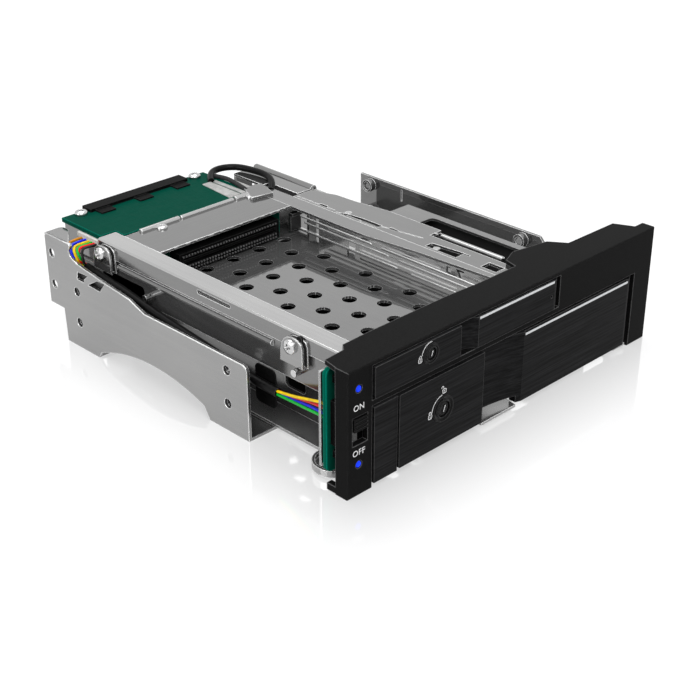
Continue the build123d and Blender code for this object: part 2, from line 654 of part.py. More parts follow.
# Rear side deck with a rolled right edge
side_deck_front = top_deck_rear + 1
side_deck_rear = rear_reach - 10.7
with BuildPart() as rear_side_deck:
    slab(deck_left, side_deck_right, side_deck_front, side_deck_rear, cage_top - sheet, cage_top)
    slab(deck_left, side_deck_right - 3, side_deck_rear - sheet, side_deck_rear, deck_top, cage_top - sheet)
    bore_y(side_deck_right, cage_top - 0.6, 1.6, side_deck_front, side_deck_rear, Mode.ADD)
    bore_y(side_deck_right, cage_top - 0.6, 0.8, side_deck_front - 1, side_deck_rear + 1)
finish(rear_side_deck, "rear_side_deck")


def side_bracket(side, rear, top, raised):
    """Side bracket: drilled cheek with an arch in its lower edge and feet turned inwards."""
    outer = side * bracket_face
    foot_end = min(rear, bracket_rear_left - 8.6)
    with BuildSketch(Plane.YZ.offset(min(outer, outer - side * bracket_sheet))) as cheek:
        with BuildLine():
            b1 = Polyline((back(arch_front), 0), (back(bracket_front), 0), (back(bracket_front), top - 2),
                          (back(bracket_front + 2), top))
            if raised:
                b2 = Polyline(b1 @ 1, (back(rear - 25), top), (back(rear - 19), 32), (back(rear - 16), 39),
                              (back(rear), 39), (back(rear), 12.5), (back(foot_end + 0.6), 12.5),
                              (back(foot_end), 0), (back(arch_rear), 0), (back(arch_rear - 2), 2.6))
            else:
                b2 = Polyline(b1 @ 1, (back(rear), top), (back(rear), 0), (back(arch_rear), 0),
                              (back(arch_rear - 2), 2.6))
            b3 = ThreePointArc(b2 @ 1, (back((arch_front + arch_rear) / 2 - 1), arch_top),
                               (back(arch_front + 2.6), 4.2))
            Line(b3 @ 1, b1 @ 0)
        make_face()
        with Locations((back(side_hole_front + side_hole_pitch / 2), (side_hole_low + side_hole_high) / 2)):
            with GridLocations(side_hole_pitch, side_hole_high - side_hole_low, 2, 2):
                Circle(side_hole_radius, mode=Mode.SUBTRACT)
        if raised:
            for hole_z in (20.4, 32.3):
                with Locations((back(rear - 3.5), hole_z)):
                    Circle(side_hole_radius, mode=Mode.SUBTRACT)
    extrude(cheek.sketch, amount=bracket_sheet)
    foot_inner = outer - side * foot_width
    for foot_front, foot_rear in ((bracket_front, arch_front), (arch_rear, foot_end)):
        slab(min(outer, foot_inner), max(outer, foot_inner), foot_front, foot_rear, 0, sheet)
    if raised:
        slab(outer, outer + 2.6, rear - 15, rear, 38, 39)
    collar_start = outer - side * bracket_sheet
    collar_end = collar_start - side * collar_length
    for hole_depth in (side_hole_front, side_hole_front + side_hole_pitch):
        for hole_z in (side_hole_low, side_hole_high):
            bore_x(hole_depth, hole_z, collar_radius, min(collar_start, collar_end), max(collar_start, collar_end),
                   Mode.ADD)
            bore_x(hole_depth, hole_z, side_hole_radius, -bracket_face - 1 if side < 0 else bracket_face - 8,
                   -bracket_face + 8 if side < 0 else bracket_face + 1)


with BuildPart() as side_bracket_left:
    side_bracket(-1, bracket_rear_left, bracket_top_left, True)
finish(side_bracket_left, "side_bracket_left")

with BuildPart() as side_bracket_right:
    side_bracket(1, bracket_rear_right, bracket_top_right, False)
    slab(bracket_face - 2, bracket_face + 1, 116.5, 117.2, 19.4, 24.1, Mode.SUBTRACT)
finish(side_bracket_right, "side_bracket_right")

# Bridge plate over the rear of the 2.5 inch bay, with a raised lip
with BuildPart() as rear_bridge:
    with BuildSketch(Plane.XY.offset(cage_top - sheet)):
        plan([(rail_inner, bridge_front), (flange_inner_25, bridge_front), (flange_inner_25, bridge_rear),
              (rail_inner, bridge_rear)])
    extrude(amount=sheet)
    slab(rail_inner + 8, -3, bridge_rear - sheet, bridge_rear, cage_top, cage_top + 1.6)
finish(rear_bridge, "rear_bridge")

# Shelf that carries the rear board
shelf_front = bridge_rear + 0.6
with BuildPart() as rear_shelf:
    with BuildSketch(Plane.XZ.offset(-back(deck_rear))):
        with BuildLine():
            Polyline((bay_left_25, deck_top), (bay_left_25, shelf_top), (shelf_right, shelf_top),
                     (shelf_right, deck_top), (shelf_right - sheet, deck_top),
                     (shelf_right - sheet, shelf_top - sheet), (bay_left_25 + sheet, shelf_top - sheet),
                     (bay_left_25 + sheet, deck_top), close=True)
        make_face()
    extrude(amount=deck_rear - shelf_front)
finish(rear_shelf, "rear_shelf")

# Rear board with its connectors
board_top = shelf_top + board_thick
board_rear = rear_reach - 1.7
with BuildPart() as rear_board:
    slab(bay_left_25 - 0.4, 0, shelf_front, board_rear, shelf_top, board_top)
finish(rear_board, "rear_board")

with BuildPart() as rear_connector:
    connector_front = board_rear - 3.5
    connector_left = bay_left_25 + 9.6
    slab(connector_left, -10.3, connector_front, rear_reach, board_top, board_top + 1.2)
    for tab_x in (connector_left + 5, (connector_left - 10.3) / 2, -15.3):
        slab(tab_x - 3, tab_x + 3, connector_front - 4, connector_front + 0.1, board_top, board_top + 0.6)
finish(rear_connector, "rear_connector")

header_left = bay_left_25 - 2.4
header_front = board_rear - 20
header_top = shelf_top - 0.2
with BuildPart() as wire_header:
    slab(header_left, bay_left_25, header_front, header_front + 13.4, header_top - 3.4, header_top)
finish(wire_header, "wire_header")

with BuildPart() as board_screws:
    for screw_x in (connector_left - 3.4, -6.1):
        bore_z(screw_x, board_rear - 2.4, 2.3, board_top, board_top + 1.2, Mode.ADD)
finish(board_screws, "board_screws")

with BuildPart() as bridge_screws:
    for screw_x in (bay_left_25 + 19.2, -3.5):
        bore_z(screw_x, bridge_rear - 8, 2.0, cage_top, cage_top + 1.0, Mode.ADD)
finish(bridge_screws, "bridge_screws")

# Backplanes and drive sockets
with BuildPart() as backplane_35:
    slab(-bay_half_35 + 1.1, deck_right_rear - 2, backplane_depth_35, backplane_depth_35 + board_thick, floor_top, deck_bottom)
finish(backplane_35, "backplane_35")

with BuildPart() as drive_socket_35:
    socket_left = -bay_half_35 + 6.1
    slab(socket_left, -3, backplane_depth_35 - 4.6, backplane_depth_35, 3.4, 9.0)
    slab(socket_left + 1.4, -4.4, backplane_depth_35 - 5, backplane_depth_35 - 1, 5.0, 7.4, Mode.SUBTRACT)
    slab(socket_left + 1.4, -4.4, backplane_depth_35 - 4.2, backplane_depth_35, 5.7, 6.7)
finish(drive_socket_35, "drive_socket_35")

with BuildPart() as backplane_25:
    slab(bay_left_25 + 7.6, 0, backplane_depth_25, backplane_depth_25 + board_thick, deck_top, cage_top - sheet)
finish(backplane_25, "backplane_25")

with BuildPart() as drive_socket_25:
    socket_left = bay_left_25 + 13.6
    slab(socket_left, -5, backplane_depth_25 - 5.2, backplane_depth_25, 30.6, 37.6)
    slab(socket_left + 1.4, -6.4, backplane_depth_25 - 6, backplane_depth_25 - 1, 32.8, 35.6, Mode.SUBTRACT)
    slab(socket_left + 1.4, -6.4, backplane_depth_25 - 4.6, backplane_depth_25, 33.7, 34.7)
finish(drive_socket_25, "drive_socket_25")

# Front control board, switch and lamps
with BuildPart() as control_board:
    slab(board_left, bay_left_25 - sheet, board_front, board_front + board_thick, 5, 39.5)
    chamfer(control_board.edges().filter_by(Axis.Y).group_by(Axis.X)[0], 2.0)
finish(control_board, "control_board")

switch_x = (switch_left + switch_right) / 2
knob_centre_z = window_high - touch_gap - 2.1
with BuildPart() as switch_body:
    slab(switch_left + 0.6, switch_right - 0.6, 5.6, board_front, 14.4, 29.2)
    slab(switch_x - 1.2, switch_x + 1.2, 5, 8.4, knob_centre_z - switch_travel - 1.4, knob_centre_z + 1.4,
         Mode.SUBTRACT)
finish(switch_body, "switch_body")

with BuildPart() as switch_knob:
    slab(switch_left + 0.4, switch_right - 0.4, -0.6, 3.0, knob_centre_z - 2.1, knob_centre_z + 2.1)
    slab(switch_x - 0.9, switch_x + 0.9, 3.0, 7.8, knob_centre_z - 1.0, knob_centre_z + 1.0)
    for rib in range(3):
        slab(switch_left, switch_right, -0.8, -0.3, knob_centre_z - 1.5 + rib * 1.2, knob_centre_z - 0.9 + rib * 1.2,
             Mode.SUBTRACT)
finish(switch_knob, "switch_knob")

with BuildPart() as status_lamps:
    for led_z in (led_high, led_low):
        bore_y(led_x, led_z, led_radius, 0.4, board_front, Mode.ADD)
        slab(led_x - 1.2, led_x + 1.2, 7.4, board_front, led_z - 1.2, led_z + 1.2)
finish(status_lamps, "status_lamps")

# Tab brackets on the left wall: a plate that stands off the wall, held by its front flange
wall_outer = bay_left_25 - sheet
tab_outer = wall_outer - 2.6
tab_sheet = 0.8
tab_length = 10.0
tab_low = 30.6
tab_high = 39.9
tab_front_depth = 26.2
tab_rear_depth = bridge_rear - 8.5


def tab_bracket(front_depth):
    """Plate with round upper corners and a flange that meets the wall and the rail."""
    with BuildSketch(Plane.YZ.offset(tab_outer)) as plate:
        with Locations((back(front_depth + tab_length / 2), (tab_low + tab_high) / 2)):
            Rectangle(tab_length, tab_high - tab_low)
        fillet(plate.vertices().group_by(Axis.Y)[-1], 2.6)
    extrude(plate.sketch, amount=tab_sheet)
    with BuildSketch(cross_plane(front_depth + tab_sheet)) as flange:
        with BuildLine():
            Polyline((tab_outer, tab_low), (tab_outer, tab_high - 1.6), (tab_outer + 1.0, tab_high),
                     (rail_outer, tab_high), (rail_outer, rail_low), (wall_outer, rail_low), (wall_outer, tab_low),
                     close=True)
        make_face()
    extrude(flange.sketch, amount=tab_sheet)


with BuildPart() as tab_bracket_front:
    tab_bracket(tab_front_depth)
finish(tab_bracket_front, "tab_bracket_front")

with BuildPart() as tab_bracket_rear:
    tab_bracket(tab_rear_depth)
finish(tab_bracket_rear, "tab_bracket_rear")

# Screws of the tabs, bumper on the rail and round studs on the wall
with BuildPart() as tab_screws:
    for front_depth in (tab_front_depth, tab_rear_depth):
        bore_x(front_depth + 5.0, 36.9, 2.4, tab_outer - 1.2, tab_outer, Mode.ADD)
finish(tab_screws, "tab_screws")

with BuildPart() as rubber_bumper:
    bore_x(tab_front_depth + 2.2, 39.6, 1.2, rail_outer - 0.9, rail_outer, Mode.ADD)
finish(rubber_bumper, "rubber_bumper")

stud_radius = 1.2
stud_length = 4.0
with BuildPart() as wall_studs:
    for stud_depth in (28.8, bridge_rear - 28.4):
        bore_x(stud_depth, 29.1, stud_radius, wall_outer - stud_length, wall_outer, Mode.ADD)
finish(wall_studs, "wall_studs")


def cord(points, radius, name):
    """Round cord along straight runs joined by the largest arcs that the runs allow."""
    corners = [Vector(x, back(depth), z) for x, depth, z in points]
    radii = []
    for i in range(1, len(corners) - 1):
        before = corners[i] - corners[i - 1]
        after = corners[i + 1] - corners[i]
        turn = radians(before.get_angle(after))
        radii.append(0.45 * min(before.length, after.length) / tan(turn / 2))
    with BuildLine() as path:
        FilletPolyline(*corners, radius=radii)
    centre_line = path.wires()[0]
    with BuildSketch(Plane(origin=centre_line @ 0, z_dir=centre_line % 0)) as section:
        RegularPolygon(radius, cord_sides)
    sweep(section.sketch, path=centre_line)
    print(name, "radii", [round(r, 1) for r in radii], "length", round(centre_line.length, 1))


# Black sleeve along the left side, from the rear header to the control board
sleeve_x = -bracket_face + 5.0
sleeve_rear = (sleeve_x, bridge_rear + 3.1, 28.2)
sleeve_front = (sleeve_x + 0.8, 36.6, 18.9)
sleeve_route = [sleeve_rear, (sleeve_x, bridge_rear - 5.4, 28.2), (sleeve_x - 0.2, bridge_rear - 18.4, 25.4),
                (sleeve_x, 97.0, 24.0), (sleeve_x, 82.0, 22.6), (sleeve_x + 0.7, 66.0, 21.6),
                (sleeve_x + 1.1, 52.0, 20.0), (sleeve_x + 0.8, 43.0, 18.9), sleeve_front]
with BuildPart() as cable_sleeve:
    cord(sleeve_route, sleeve_radius, "cable_sleeve")
finish(cable_sleeve, "cable_sleeve")


def rear_wire(place, angle):
    """Wire from the header's outer face down into the rear end of the sleeve."""
    dx, dz = bundle_radius * cos(radians(angle)), bundle_radius * sin(radians(angle))
    depth = header_front + 1.6 + 2 * place
    x, z = sleeve_rear[0] + dx, sleeve_rear[2] + dz
    return [(header_left, depth, 38.0), (sleeve_x - 1.2, depth, 37.8), (sleeve_x - 1.3, depth - 0.2, 33.4),
            (x, depth - 0.6, z), (x, sleeve_rear[1], z)]


def front_wire(place, z_board):
    """Wire from the front end of the sleeve to the rear face of the control board."""
    dx, dz = 0.72 * (1 if place % 2 else -1), 0.72 * (1 if place < 2 else -1)
    x, z = sleeve_front[0] + dx, sleeve_front[2] + dz
    lift = z_board - z
    x_board = sleeve_x - 3.4 + 0.5 * (place % 2)
    return [(x, sleeve_front[1], z), (x, 32.4, z), ((x + x_board) / 2 + 0.3, 24.0, z + 0.45 * lift),
            (x_board, 15.4, z + 0.97 * lift), (x_board, board_front + board_thick, z_board)]


bundle_radius = 1.04
rear_places = {"wire_black": (0, 90), "wire_red": (1, 30), "wire_green": (2, 150),
               "wire_yellow": (3, -30), "wire_blue": (4, 210), "wire_orange": (5, -90)}
front_places = {"wire_yellow": (0, 27.5), "wire_red": (1, 25.8), "wire_blue": (2, 24.1), "wire_green": (3, 22.5)}
for wire_name, (place, angle) in rear_places.items():
    with BuildPart() as wire:
        cord(rear_wire(place, angle), wire_radius, wire_name)
        if wire_name in front_places:
            cord(front_wire(*front_places[wire_name]), wire_radius, wire_name)
    finish(wire, wire_name)

# Loop cable on the rear deck, between two sockets
loop_z = board_top + 1.9
loop_start = bridge_rear + 16.8
loop_route = [(-3.0, loop_start, loop_z), (4.2, loop_start, loop_z), (10.6, loop_start - 3.2, loop_z),
              (13.6, loop_start - 9.4, loop_z), (12.6, loop_start - 15.8, loop_z),
              (8.8, loop_start - 19.4, loop_z), (3.4, loop_start - 19.4, loop_z)]
with BuildPart() as loop_cable:
    cord(loop_route, loop_radius, "loop_cable")
finish(loop_cable, "loop_cable")

with BuildPart() as cable_sockets:
    slab(-5.6, -3.0, loop_start - 1.9, loop_start + 1.7, board_top, loop_z + 1.7)
    slab(-2.4, 3.4, loop_start - 23, loop_start - 17.6, cage_top, loop_z + 1.7)
finish(cable_sockets, "cable_sockets")

# Flat cable beside the rear board
with BuildPart() as flat_cable:
    slab(0.4, 4.4, shelf_front + 0.2, shelf_front + 16, shelf_top, shelf_top + 0.8)
finish(flat_cable, "flat_cable")
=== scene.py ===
from math import cos, pi, radians, sin

import bmesh
import bpy
import numpy as np
from mathutils import Matrix, Vector


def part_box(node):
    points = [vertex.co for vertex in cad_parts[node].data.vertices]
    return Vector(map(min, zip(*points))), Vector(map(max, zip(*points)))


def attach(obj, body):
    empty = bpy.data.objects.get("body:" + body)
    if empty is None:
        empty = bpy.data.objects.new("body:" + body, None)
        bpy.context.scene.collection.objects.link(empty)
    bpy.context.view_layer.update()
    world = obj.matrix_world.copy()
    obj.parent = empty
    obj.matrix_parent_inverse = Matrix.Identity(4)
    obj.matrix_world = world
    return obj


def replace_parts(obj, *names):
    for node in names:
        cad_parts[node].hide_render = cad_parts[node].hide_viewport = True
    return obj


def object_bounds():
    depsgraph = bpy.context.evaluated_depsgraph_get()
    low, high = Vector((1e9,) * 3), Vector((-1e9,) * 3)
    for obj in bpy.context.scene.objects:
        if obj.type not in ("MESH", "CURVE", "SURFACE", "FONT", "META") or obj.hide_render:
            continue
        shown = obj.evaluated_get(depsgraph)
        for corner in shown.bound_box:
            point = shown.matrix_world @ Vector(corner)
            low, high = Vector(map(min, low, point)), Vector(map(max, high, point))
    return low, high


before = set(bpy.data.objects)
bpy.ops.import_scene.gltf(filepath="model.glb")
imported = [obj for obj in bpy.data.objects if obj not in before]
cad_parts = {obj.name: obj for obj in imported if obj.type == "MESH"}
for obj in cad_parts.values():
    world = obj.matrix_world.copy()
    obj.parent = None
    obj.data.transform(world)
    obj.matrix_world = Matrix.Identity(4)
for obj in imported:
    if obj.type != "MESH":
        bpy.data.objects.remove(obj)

# Looks of a hot swap drive cage. Lengths are metres, as in the frame: X across the front, Y to the
# rear, Z up. Outlines and places are millimetres: X, depth behind the bezel face and height.
MM = 0.001
cad_low, cad_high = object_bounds()
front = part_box("front_bezel")[0].y


def at(x, depth, z):
    """Point in metres from millimetres: X, depth behind the bezel face, height."""
    return np.array([x * MM, front + depth * MM, z * MM])


# Surfaces worked out on grids

def cells(number):
    """Quads of a grid of point numbers."""
    corners = [number[:-1, :-1], number[1:, :-1], number[1:, 1:], number[:-1, 1:]]
    return np.stack(corners, -1).reshape(-1, 4).tolist()


def surface(name, grid, look, body, around_u=False, around_v=False, capped=False, smooth=True):
    """Mesh of a grid of points: rows or columns close up where asked, and ends get a flat cap."""
    rows, columns = grid.shape[:2]
    number = np.arange(rows * columns).reshape(rows, columns)
    if around_u:
        number = np.vstack([number, number[:1]])
    if around_v:
        number = np.hstack([number, number[:, :1]])
    faces = cells(number)
    if capped:
        faces += [number[0, :columns].tolist(), number[-1, :columns].tolist()]
    return piece_from(name, grid.reshape(-1, 3), faces, look, body, smooth)


def placed(name, data, body):
    """Piece from finished data, riding on its body."""
    piece = bpy.data.objects.new(name, data)
    bpy.context.scene.collection.objects.link(piece)
    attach(piece, body)
    return piece


def piece_from(name, points, faces, look, body, smooth=True):
    """Piece from points and faces: doubles merged and faces turned outwards."""
    mesh = bpy.data.meshes.new(name)
    mesh.from_pydata(np.asarray(points).tolist(), [], faces)
    shape = bmesh.new()
    shape.from_mesh(mesh)
    bmesh.ops.remove_doubles(shape, verts=shape.verts, dist=1e-7)
    bmesh.ops.recalc_face_normals(shape, faces=shape.faces)
    shape.to_mesh(mesh)
    shape.free()
    if smooth:
        mesh.shade_smooth()
        mesh.set_sharp_from_angle(angle=radians(32))
    mesh.materials.append(looks[look])
    return placed(name, mesh, body)


def round_axes(axis):
    """Axis as an array, and two directions square to it."""
    axis = np.array(axis, float)
    side = np.cross(axis, [0.3, 0.2, 1.0] if abs(axis[2]) < 0.9 else [1.0, 0.2, 0.3])
    side = side / np.linalg.norm(side)
    return axis, side, np.cross(axis, side)


def turned(profile, centre, axis, steps=56):
    """Grid of a turned shape: profile rows are radius and reach along the axis, swept a full turn."""
    axis, side, other = round_axes(axis)
    angle = np.linspace(0, 2 * pi, steps, endpoint=False)
    ring = np.cos(angle)[:, None] * side + np.sin(angle)[:, None] * other
    profile = np.array(profile) * MM
    return centre + profile[:, 0, None, None] * ring[None] + profile[:, 1, None, None] * axis


def blocks(name, centres, sizes, look, body):
    """Many small square bars in one piece, each a scaled unit cube at its centre."""
    corner = np.array([[i, j, k] for i in (-0.5, 0.5) for j in (-0.5, 0.5) for k in (-0.5, 0.5)])
    points = np.asarray(centres)[:, None, :] + corner[None] * np.asarray(sizes)[:, None, :]
    side = np.array([[0, 1, 3, 2], [4, 6, 7, 5], [0, 4, 5, 1],
                     [2, 3, 7, 6], [0, 2, 6, 4], [1, 5, 7, 3]])
    faces = (side[None] + 8 * np.arange(len(points))[:, None, None]).reshape(-1, 4)
    return piece_from(name, points.reshape(-1, 3), faces.tolist(), look, body, smooth=False)


def mesh_of(name, curve, look):
    """Mesh of a filled curve or a word."""
    drawn = bpy.data.objects.new(name, curve)
    bpy.context.scene.collection.objects.link(drawn)
    bpy.context.view_layer.update()
    mesh = bpy.data.meshes.new_from_object(drawn)
    bpy.data.objects.remove(drawn)
    mesh.materials.clear()
    mesh.materials.append(looks[look])
    return mesh


def pressed_sheet(name, outline, level, thick, facing, look, holes=(), rounding=0.12):
    """Flat sheet pressed from an outline with holes, edges rounded: facing "top" takes X and depth,
    "side" takes depth and Z, "front" takes X and Z, and level is where its lower face lies."""
    sheet = bpy.data.curves.new(name, "CURVE")
    sheet.dimensions = "2D"
    sheet.fill_mode = "BOTH"
    sheet.extrude = (thick / 2 - rounding) * MM
    sheet.bevel_depth = rounding * MM
    sheet.bevel_resolution = 1
    sheet.offset = -rounding * MM
    for line in [outline, *holes]:
        corners = np.array(line, float) * MM
        spline = sheet.splines.new("POLY")
        spline.points.add(len(corners) - 1)
        spline.points.foreach_set("co", np.pad(corners, ((0, 0), (0, 2))).astype(np.float32).ravel())
        spline.use_cyclic_u = True
    mesh = mesh_of(name, sheet, look)
    middle = (level + thick / 2) * MM
    turns = {"top": Matrix(((1, 0, 0, 0), (0, 1, 0, front), (0, 0, 1, middle), (0, 0, 0, 1))),
             "side": Matrix(((0, 0, 1, middle), (1, 0, 0, front), (0, 1, 0, 0), (0, 0, 0, 1))),
             "front": Matrix(((1, 0, 0, 0), (0, 0, -1, front + middle), (0, 1, 0, 0), (0, 0, 0, 1)))}
    mesh.transform(turns[facing])
    mesh.set_sharp_from_angle(angle=radians(50))
    return placed(name, mesh, "cage")


def hole(x, y, radius, steps=40):
    """Round hole in a pressed sheet."""
    angle = np.linspace(0, 2 * pi, steps, endpoint=False)
    return np.stack([x + radius * np.cos(angle), y + radius * np.sin(angle)], 1)


def box_line(low_x, high_x, low_y, high_y, corner=0.3, steps=5):
    """Rectangle with rounded corners for a pressed sheet."""
    turn = np.linspace(0, pi / 2, steps)
    quarter = np.stack([np.cos(turn), np.sin(turn)], 1) * corner
    centre = np.array([(high_x - corner, high_y - corner), (low_x + corner, high_y - corner),
                       (low_x + corner, low_y + corner), (high_x - corner, low_y + corner)])
    turned_quarters = [quarter, quarter[:, ::-1] * [-1, 1], -quarter, quarter[:, ::-1] * [1, -1]]
    return np.vstack([middle + part for middle, part in zip(centre, turned_quarters)])


# Materials

def new_look(name):
    """Empty material with its shader and the piece's own coordinates."""
    look = bpy.data.materials.new(name)
    look.use_nodes = True
    nodes = look.node_tree.nodes
    shader = nodes["Principled BSDF"]
    place = nodes.new("ShaderNodeTexCoord").outputs["Object"]
    return look, look.node_tree, shader, place


def grain(tree, place, stretch, detail=4, roughness=0.55):
    """Noise that is stretched by its three scales per metre."""
    mapping = tree.nodes.new("ShaderNodeMapping")
    mapping.inputs["Scale"].default_value = stretch
    tree.links.new(place, mapping.inputs["Vector"])
    noise = tree.nodes.new("ShaderNodeTexNoise")
    noise.inputs["Scale"].default_value = 1
    noise.inputs["Detail"].default_value = detail
    noise.inputs["Roughness"].default_value = roughness
    tree.links.new(mapping.outputs["Vector"], noise.inputs["Vector"])
    return noise.outputs["Fac"]


def spread(tree, value, low, high, start=0.3, end=0.7):
    """Value between start and end turned into a number or a colour between low and high."""
    if isinstance(low, (int, float)):
        node = tree.nodes.new("ShaderNodeMapRange")
        for socket, number in (("From Min", start), ("From Max", end), ("To Min", low), ("To Max", high)):
            node.inputs[socket].default_value = number
        tree.links.new(value, node.inputs["Value"])
        return node.outputs["Result"]
    node = tree.nodes.new("ShaderNodeValToRGB")
    node.color_ramp.elements[0].position = start
    node.color_ramp.elements[0].color = (*low, 1)
    node.color_ramp.elements[1].position = end
    node.color_ramp.elements[1].color = (*high, 1)
    tree.links.new(value, node.inputs["Fac"])
    return node.outputs["Color"]


def relief(tree, shader, height, depth, edge=0.0):
    """Fine relief from a height, over edges softened by a radius in metres."""
    bump = tree.nodes.new("ShaderNodeBump")
    bump.inputs["Distance"].default_value = depth
    bump.inputs["Strength"].default_value = 1
    tree.links.new(height, bump.inputs["Height"])
    if edge:
        soft = tree.nodes.new("ShaderNodeBevel")
        soft.samples = 4
        soft.inputs["Radius"].default_value = edge
        tree.links.new(soft.outputs["Normal"], bump.inputs["Normal"])
    tree.links.new(bump.outputs["Normal"], shader.inputs["Normal"])


def maths(tree, operation, first, second):
    """Two values joined by one operation."""
    node = tree.nodes.new("ShaderNodeMath")
    node.operation = operation
    tree.links.new(first, node.inputs[0])
    tree.links.new(second, node.inputs[1])
    return node.outputs[0]


def vector_maths(tree, operation, first, second=(0, 0, 0), output="Value"):
    """Operation on a vector and a second one, which is a fixed triple or a socket."""
    node = tree.nodes.new("ShaderNodeVectorMath")
    node.operation = operation
    tree.links.new(first, node.inputs[0])
    if isinstance(second, tuple):
        node.inputs[1].default_value = second
    else:
        tree.links.new(second, node.inputs[1])
    return node.outputs[output]


def mixed(tree, share, first, second):
    """Two values mixed, by the share of the second."""
    both = tree.nodes.new("ShaderNodeMix")
    both.inputs["Factor"].default_value = share
    tree.links.new(first, both.inputs["A"])
    tree.links.new(second, both.inputs["B"])
    return both.outputs["Result"]


def masked(tree, mask, colour, other):
    """Colour that turns to the other one where the mask is one."""
    both = tree.nodes.new("ShaderNodeMix")
    both.data_type = "RGBA"
    tree.links.new(mask, both.inputs["Factor"])
    tree.links.new(colour, both.inputs["A"])
    both.inputs["B"].default_value = (*other, 1)
    return both.outputs["Result"]


def edge_mask(tree, radius, reach=0.06):
    """One along the edges, where a rounded normal leaves the face's own, and nought elsewhere."""
    soft = tree.nodes.new("ShaderNodeBevel")
    soft.samples = 6
    soft.inputs["Radius"].default_value = radius
    own = tree.nodes.new("ShaderNodeNewGeometry")
    same = vector_maths(tree, "DOT_PRODUCT", soft.outputs["Normal"], own.outputs["Normal"])
    return spread(tree, same, 1.0, 0.0, 1 - reach, 0.995)


def toned(tree, colour, mask, share_low, share_high):
    """Colour made darker or lighter: its share where the mask is nought, and where it is one."""
    scaled = tree.nodes.new("ShaderNodeVectorMath")
    scaled.operation = "SCALE"
    tree.links.new(colour, scaled.inputs[0])
    tree.links.new(spread(tree, mask, share_low, share_high, 0.0, 1.0), scaled.inputs["Scale"])
    return scaled.outputs[0]


def above(tree, place, axis, start, end):
    """Ramp from nought to one along one axis of Object coordinates."""
    split = tree.nodes.new("ShaderNodeSeparateXYZ")
    tree.links.new(place, split.inputs[0])
    return spread(tree, split.outputs[axis], 0.0, 1.0, start, end)


def grey(tone):
    """Colour without a hue."""
    return (tone, tone, tone)


def sheet_steel(name, dark, light, smooth, rough, stretch=(900, 14, 900), edge=0.0004, edge_light=0.95,
                plating=0.88, painted_light_below=None, painted_shade_box=None):
    """Zinc plated sheet: fine rolled grain, faint clouds, and painted highlights along its edges, bright
    and less metallic. Below a height it may take a second tone, painted light and shade, and in a box under
    the deck painted shade makes it dark and without shine."""
    look, tree, shader, place = new_look(name)
    fine = grain(tree, place, stretch, 3)
    cloud = grain(tree, place, (38, 22, 38), 3)
    both = mixed(tree, 0.35, cloud, fine)
    tone = spread(tree, both, grey(dark), (light, light, light * 0.99))
    # Painted light and shade: below the height the tone is scaled by its share, so a side and the face
    # above it differ.
    if painted_light_below:
        height, share = painted_light_below
        tone = toned(tree, tone, above(tree, place, "Z", (height - 0.1) * MM, height * MM), share, 1.0)
    # Painted highlight: along the edges the tone turns to the bright edge_light grey and the metal partly
    # turns diffuse.
    mask = edge_mask(tree, edge)
    plated = spread(tree, mask, plating, 0.35 * plating, 0.0, 1.0)
    # Painted shade: in the box under the deck the tone falls to a small share, the edge highlight goes and
    # the shine is taken away.
    if painted_shade_box:
        low_x, high_x, low_depth, high_depth = painted_shade_box
        fade, painted_shade_share, inside_shine = 0.5 * MM, 0.03, 0.5
        inside = above(tree, place, "X", low_x * MM, low_x * MM + fade)
        for axis, start, side in (("X", high_x * MM, -fade), ("Y", front + low_depth * MM, fade),
                                  ("Y", front + high_depth * MM, -fade)):
            inside = maths(tree, "MULTIPLY", inside, above(tree, place, axis, start, start + side))
        tone = toned(tree, tone, inside, 1.0, painted_shade_share)
        open_air = spread(tree, inside, 1.0, 0.0, 0.0, 1.0)
        mask = maths(tree, "MULTIPLY", mask, open_air)
        plated = maths(tree, "MULTIPLY", plated, open_air)
        shine = spread(tree, open_air, 0.0, inside_shine, 0.0, 1.0)
        tree.links.new(shine, shader.inputs["Specular IOR Level"])
    tree.links.new(masked(tree, mask, tone, grey(edge_light)), shader.inputs["Base Color"])
    tree.links.new(spread(tree, both, smooth, rough), shader.inputs["Roughness"])
    tree.links.new(plated, shader.inputs["Metallic"])
    relief(tree, shader, fine, 0.0000004, edge / 2)
    return look


def moulded(name, dark, light, roughness, grit=2600, edge=0.0003, edge_light=0.06, shine=0.02):
    """Moulded plastic with a fine even grit and a faint painted highlight along the edges."""
    look, tree, shader, place = new_look(name)
    fine = grain(tree, place, (grit, grit, grit), 2)
    # Painted highlight: the edge mask turns the tone to the edge_light grey.
    tone = masked(tree, edge_mask(tree, edge), spread(tree, fine, dark, light), grey(edge_light))
    tree.links.new(tone, shader.inputs["Base Color"])
    tree.links.new(spread(tree, fine, roughness - 0.04, roughness + 0.06), shader.inputs["Roughness"])
    shader.inputs["Specular IOR Level"].default_value = shine
    relief(tree, shader, fine, 0.000002, edge)
    return look


def brushed_black():
    """Black door panels brushed in long horizontal streaks."""
    look, tree, shader, place = new_look("panel")
    streak = grain(tree, place, (70, 900, 3600), 5, 0.65)
    long_streak = grain(tree, place, (22, 400, 1500), 3, 0.5)
    tone = mixed(tree, 0.45, streak, long_streak)
    streaks = spread(tree, tone, grey(0.002), (0.026, 0.026, 0.027), 0.38, 0.68)
    # Painted highlight: a faint grey along the edges.
    colour = masked(tree, edge_mask(tree, 0.0003), streaks, grey(0.09))
    tree.links.new(colour, shader.inputs["Base Color"])
    tree.links.new(spread(tree, tone, 0.34, 0.52), shader.inputs["Roughness"])
    shader.inputs["Specular IOR Level"].default_value = 0.03
    relief(tree, shader, tone, 0.00002, 0.0002)
    return look


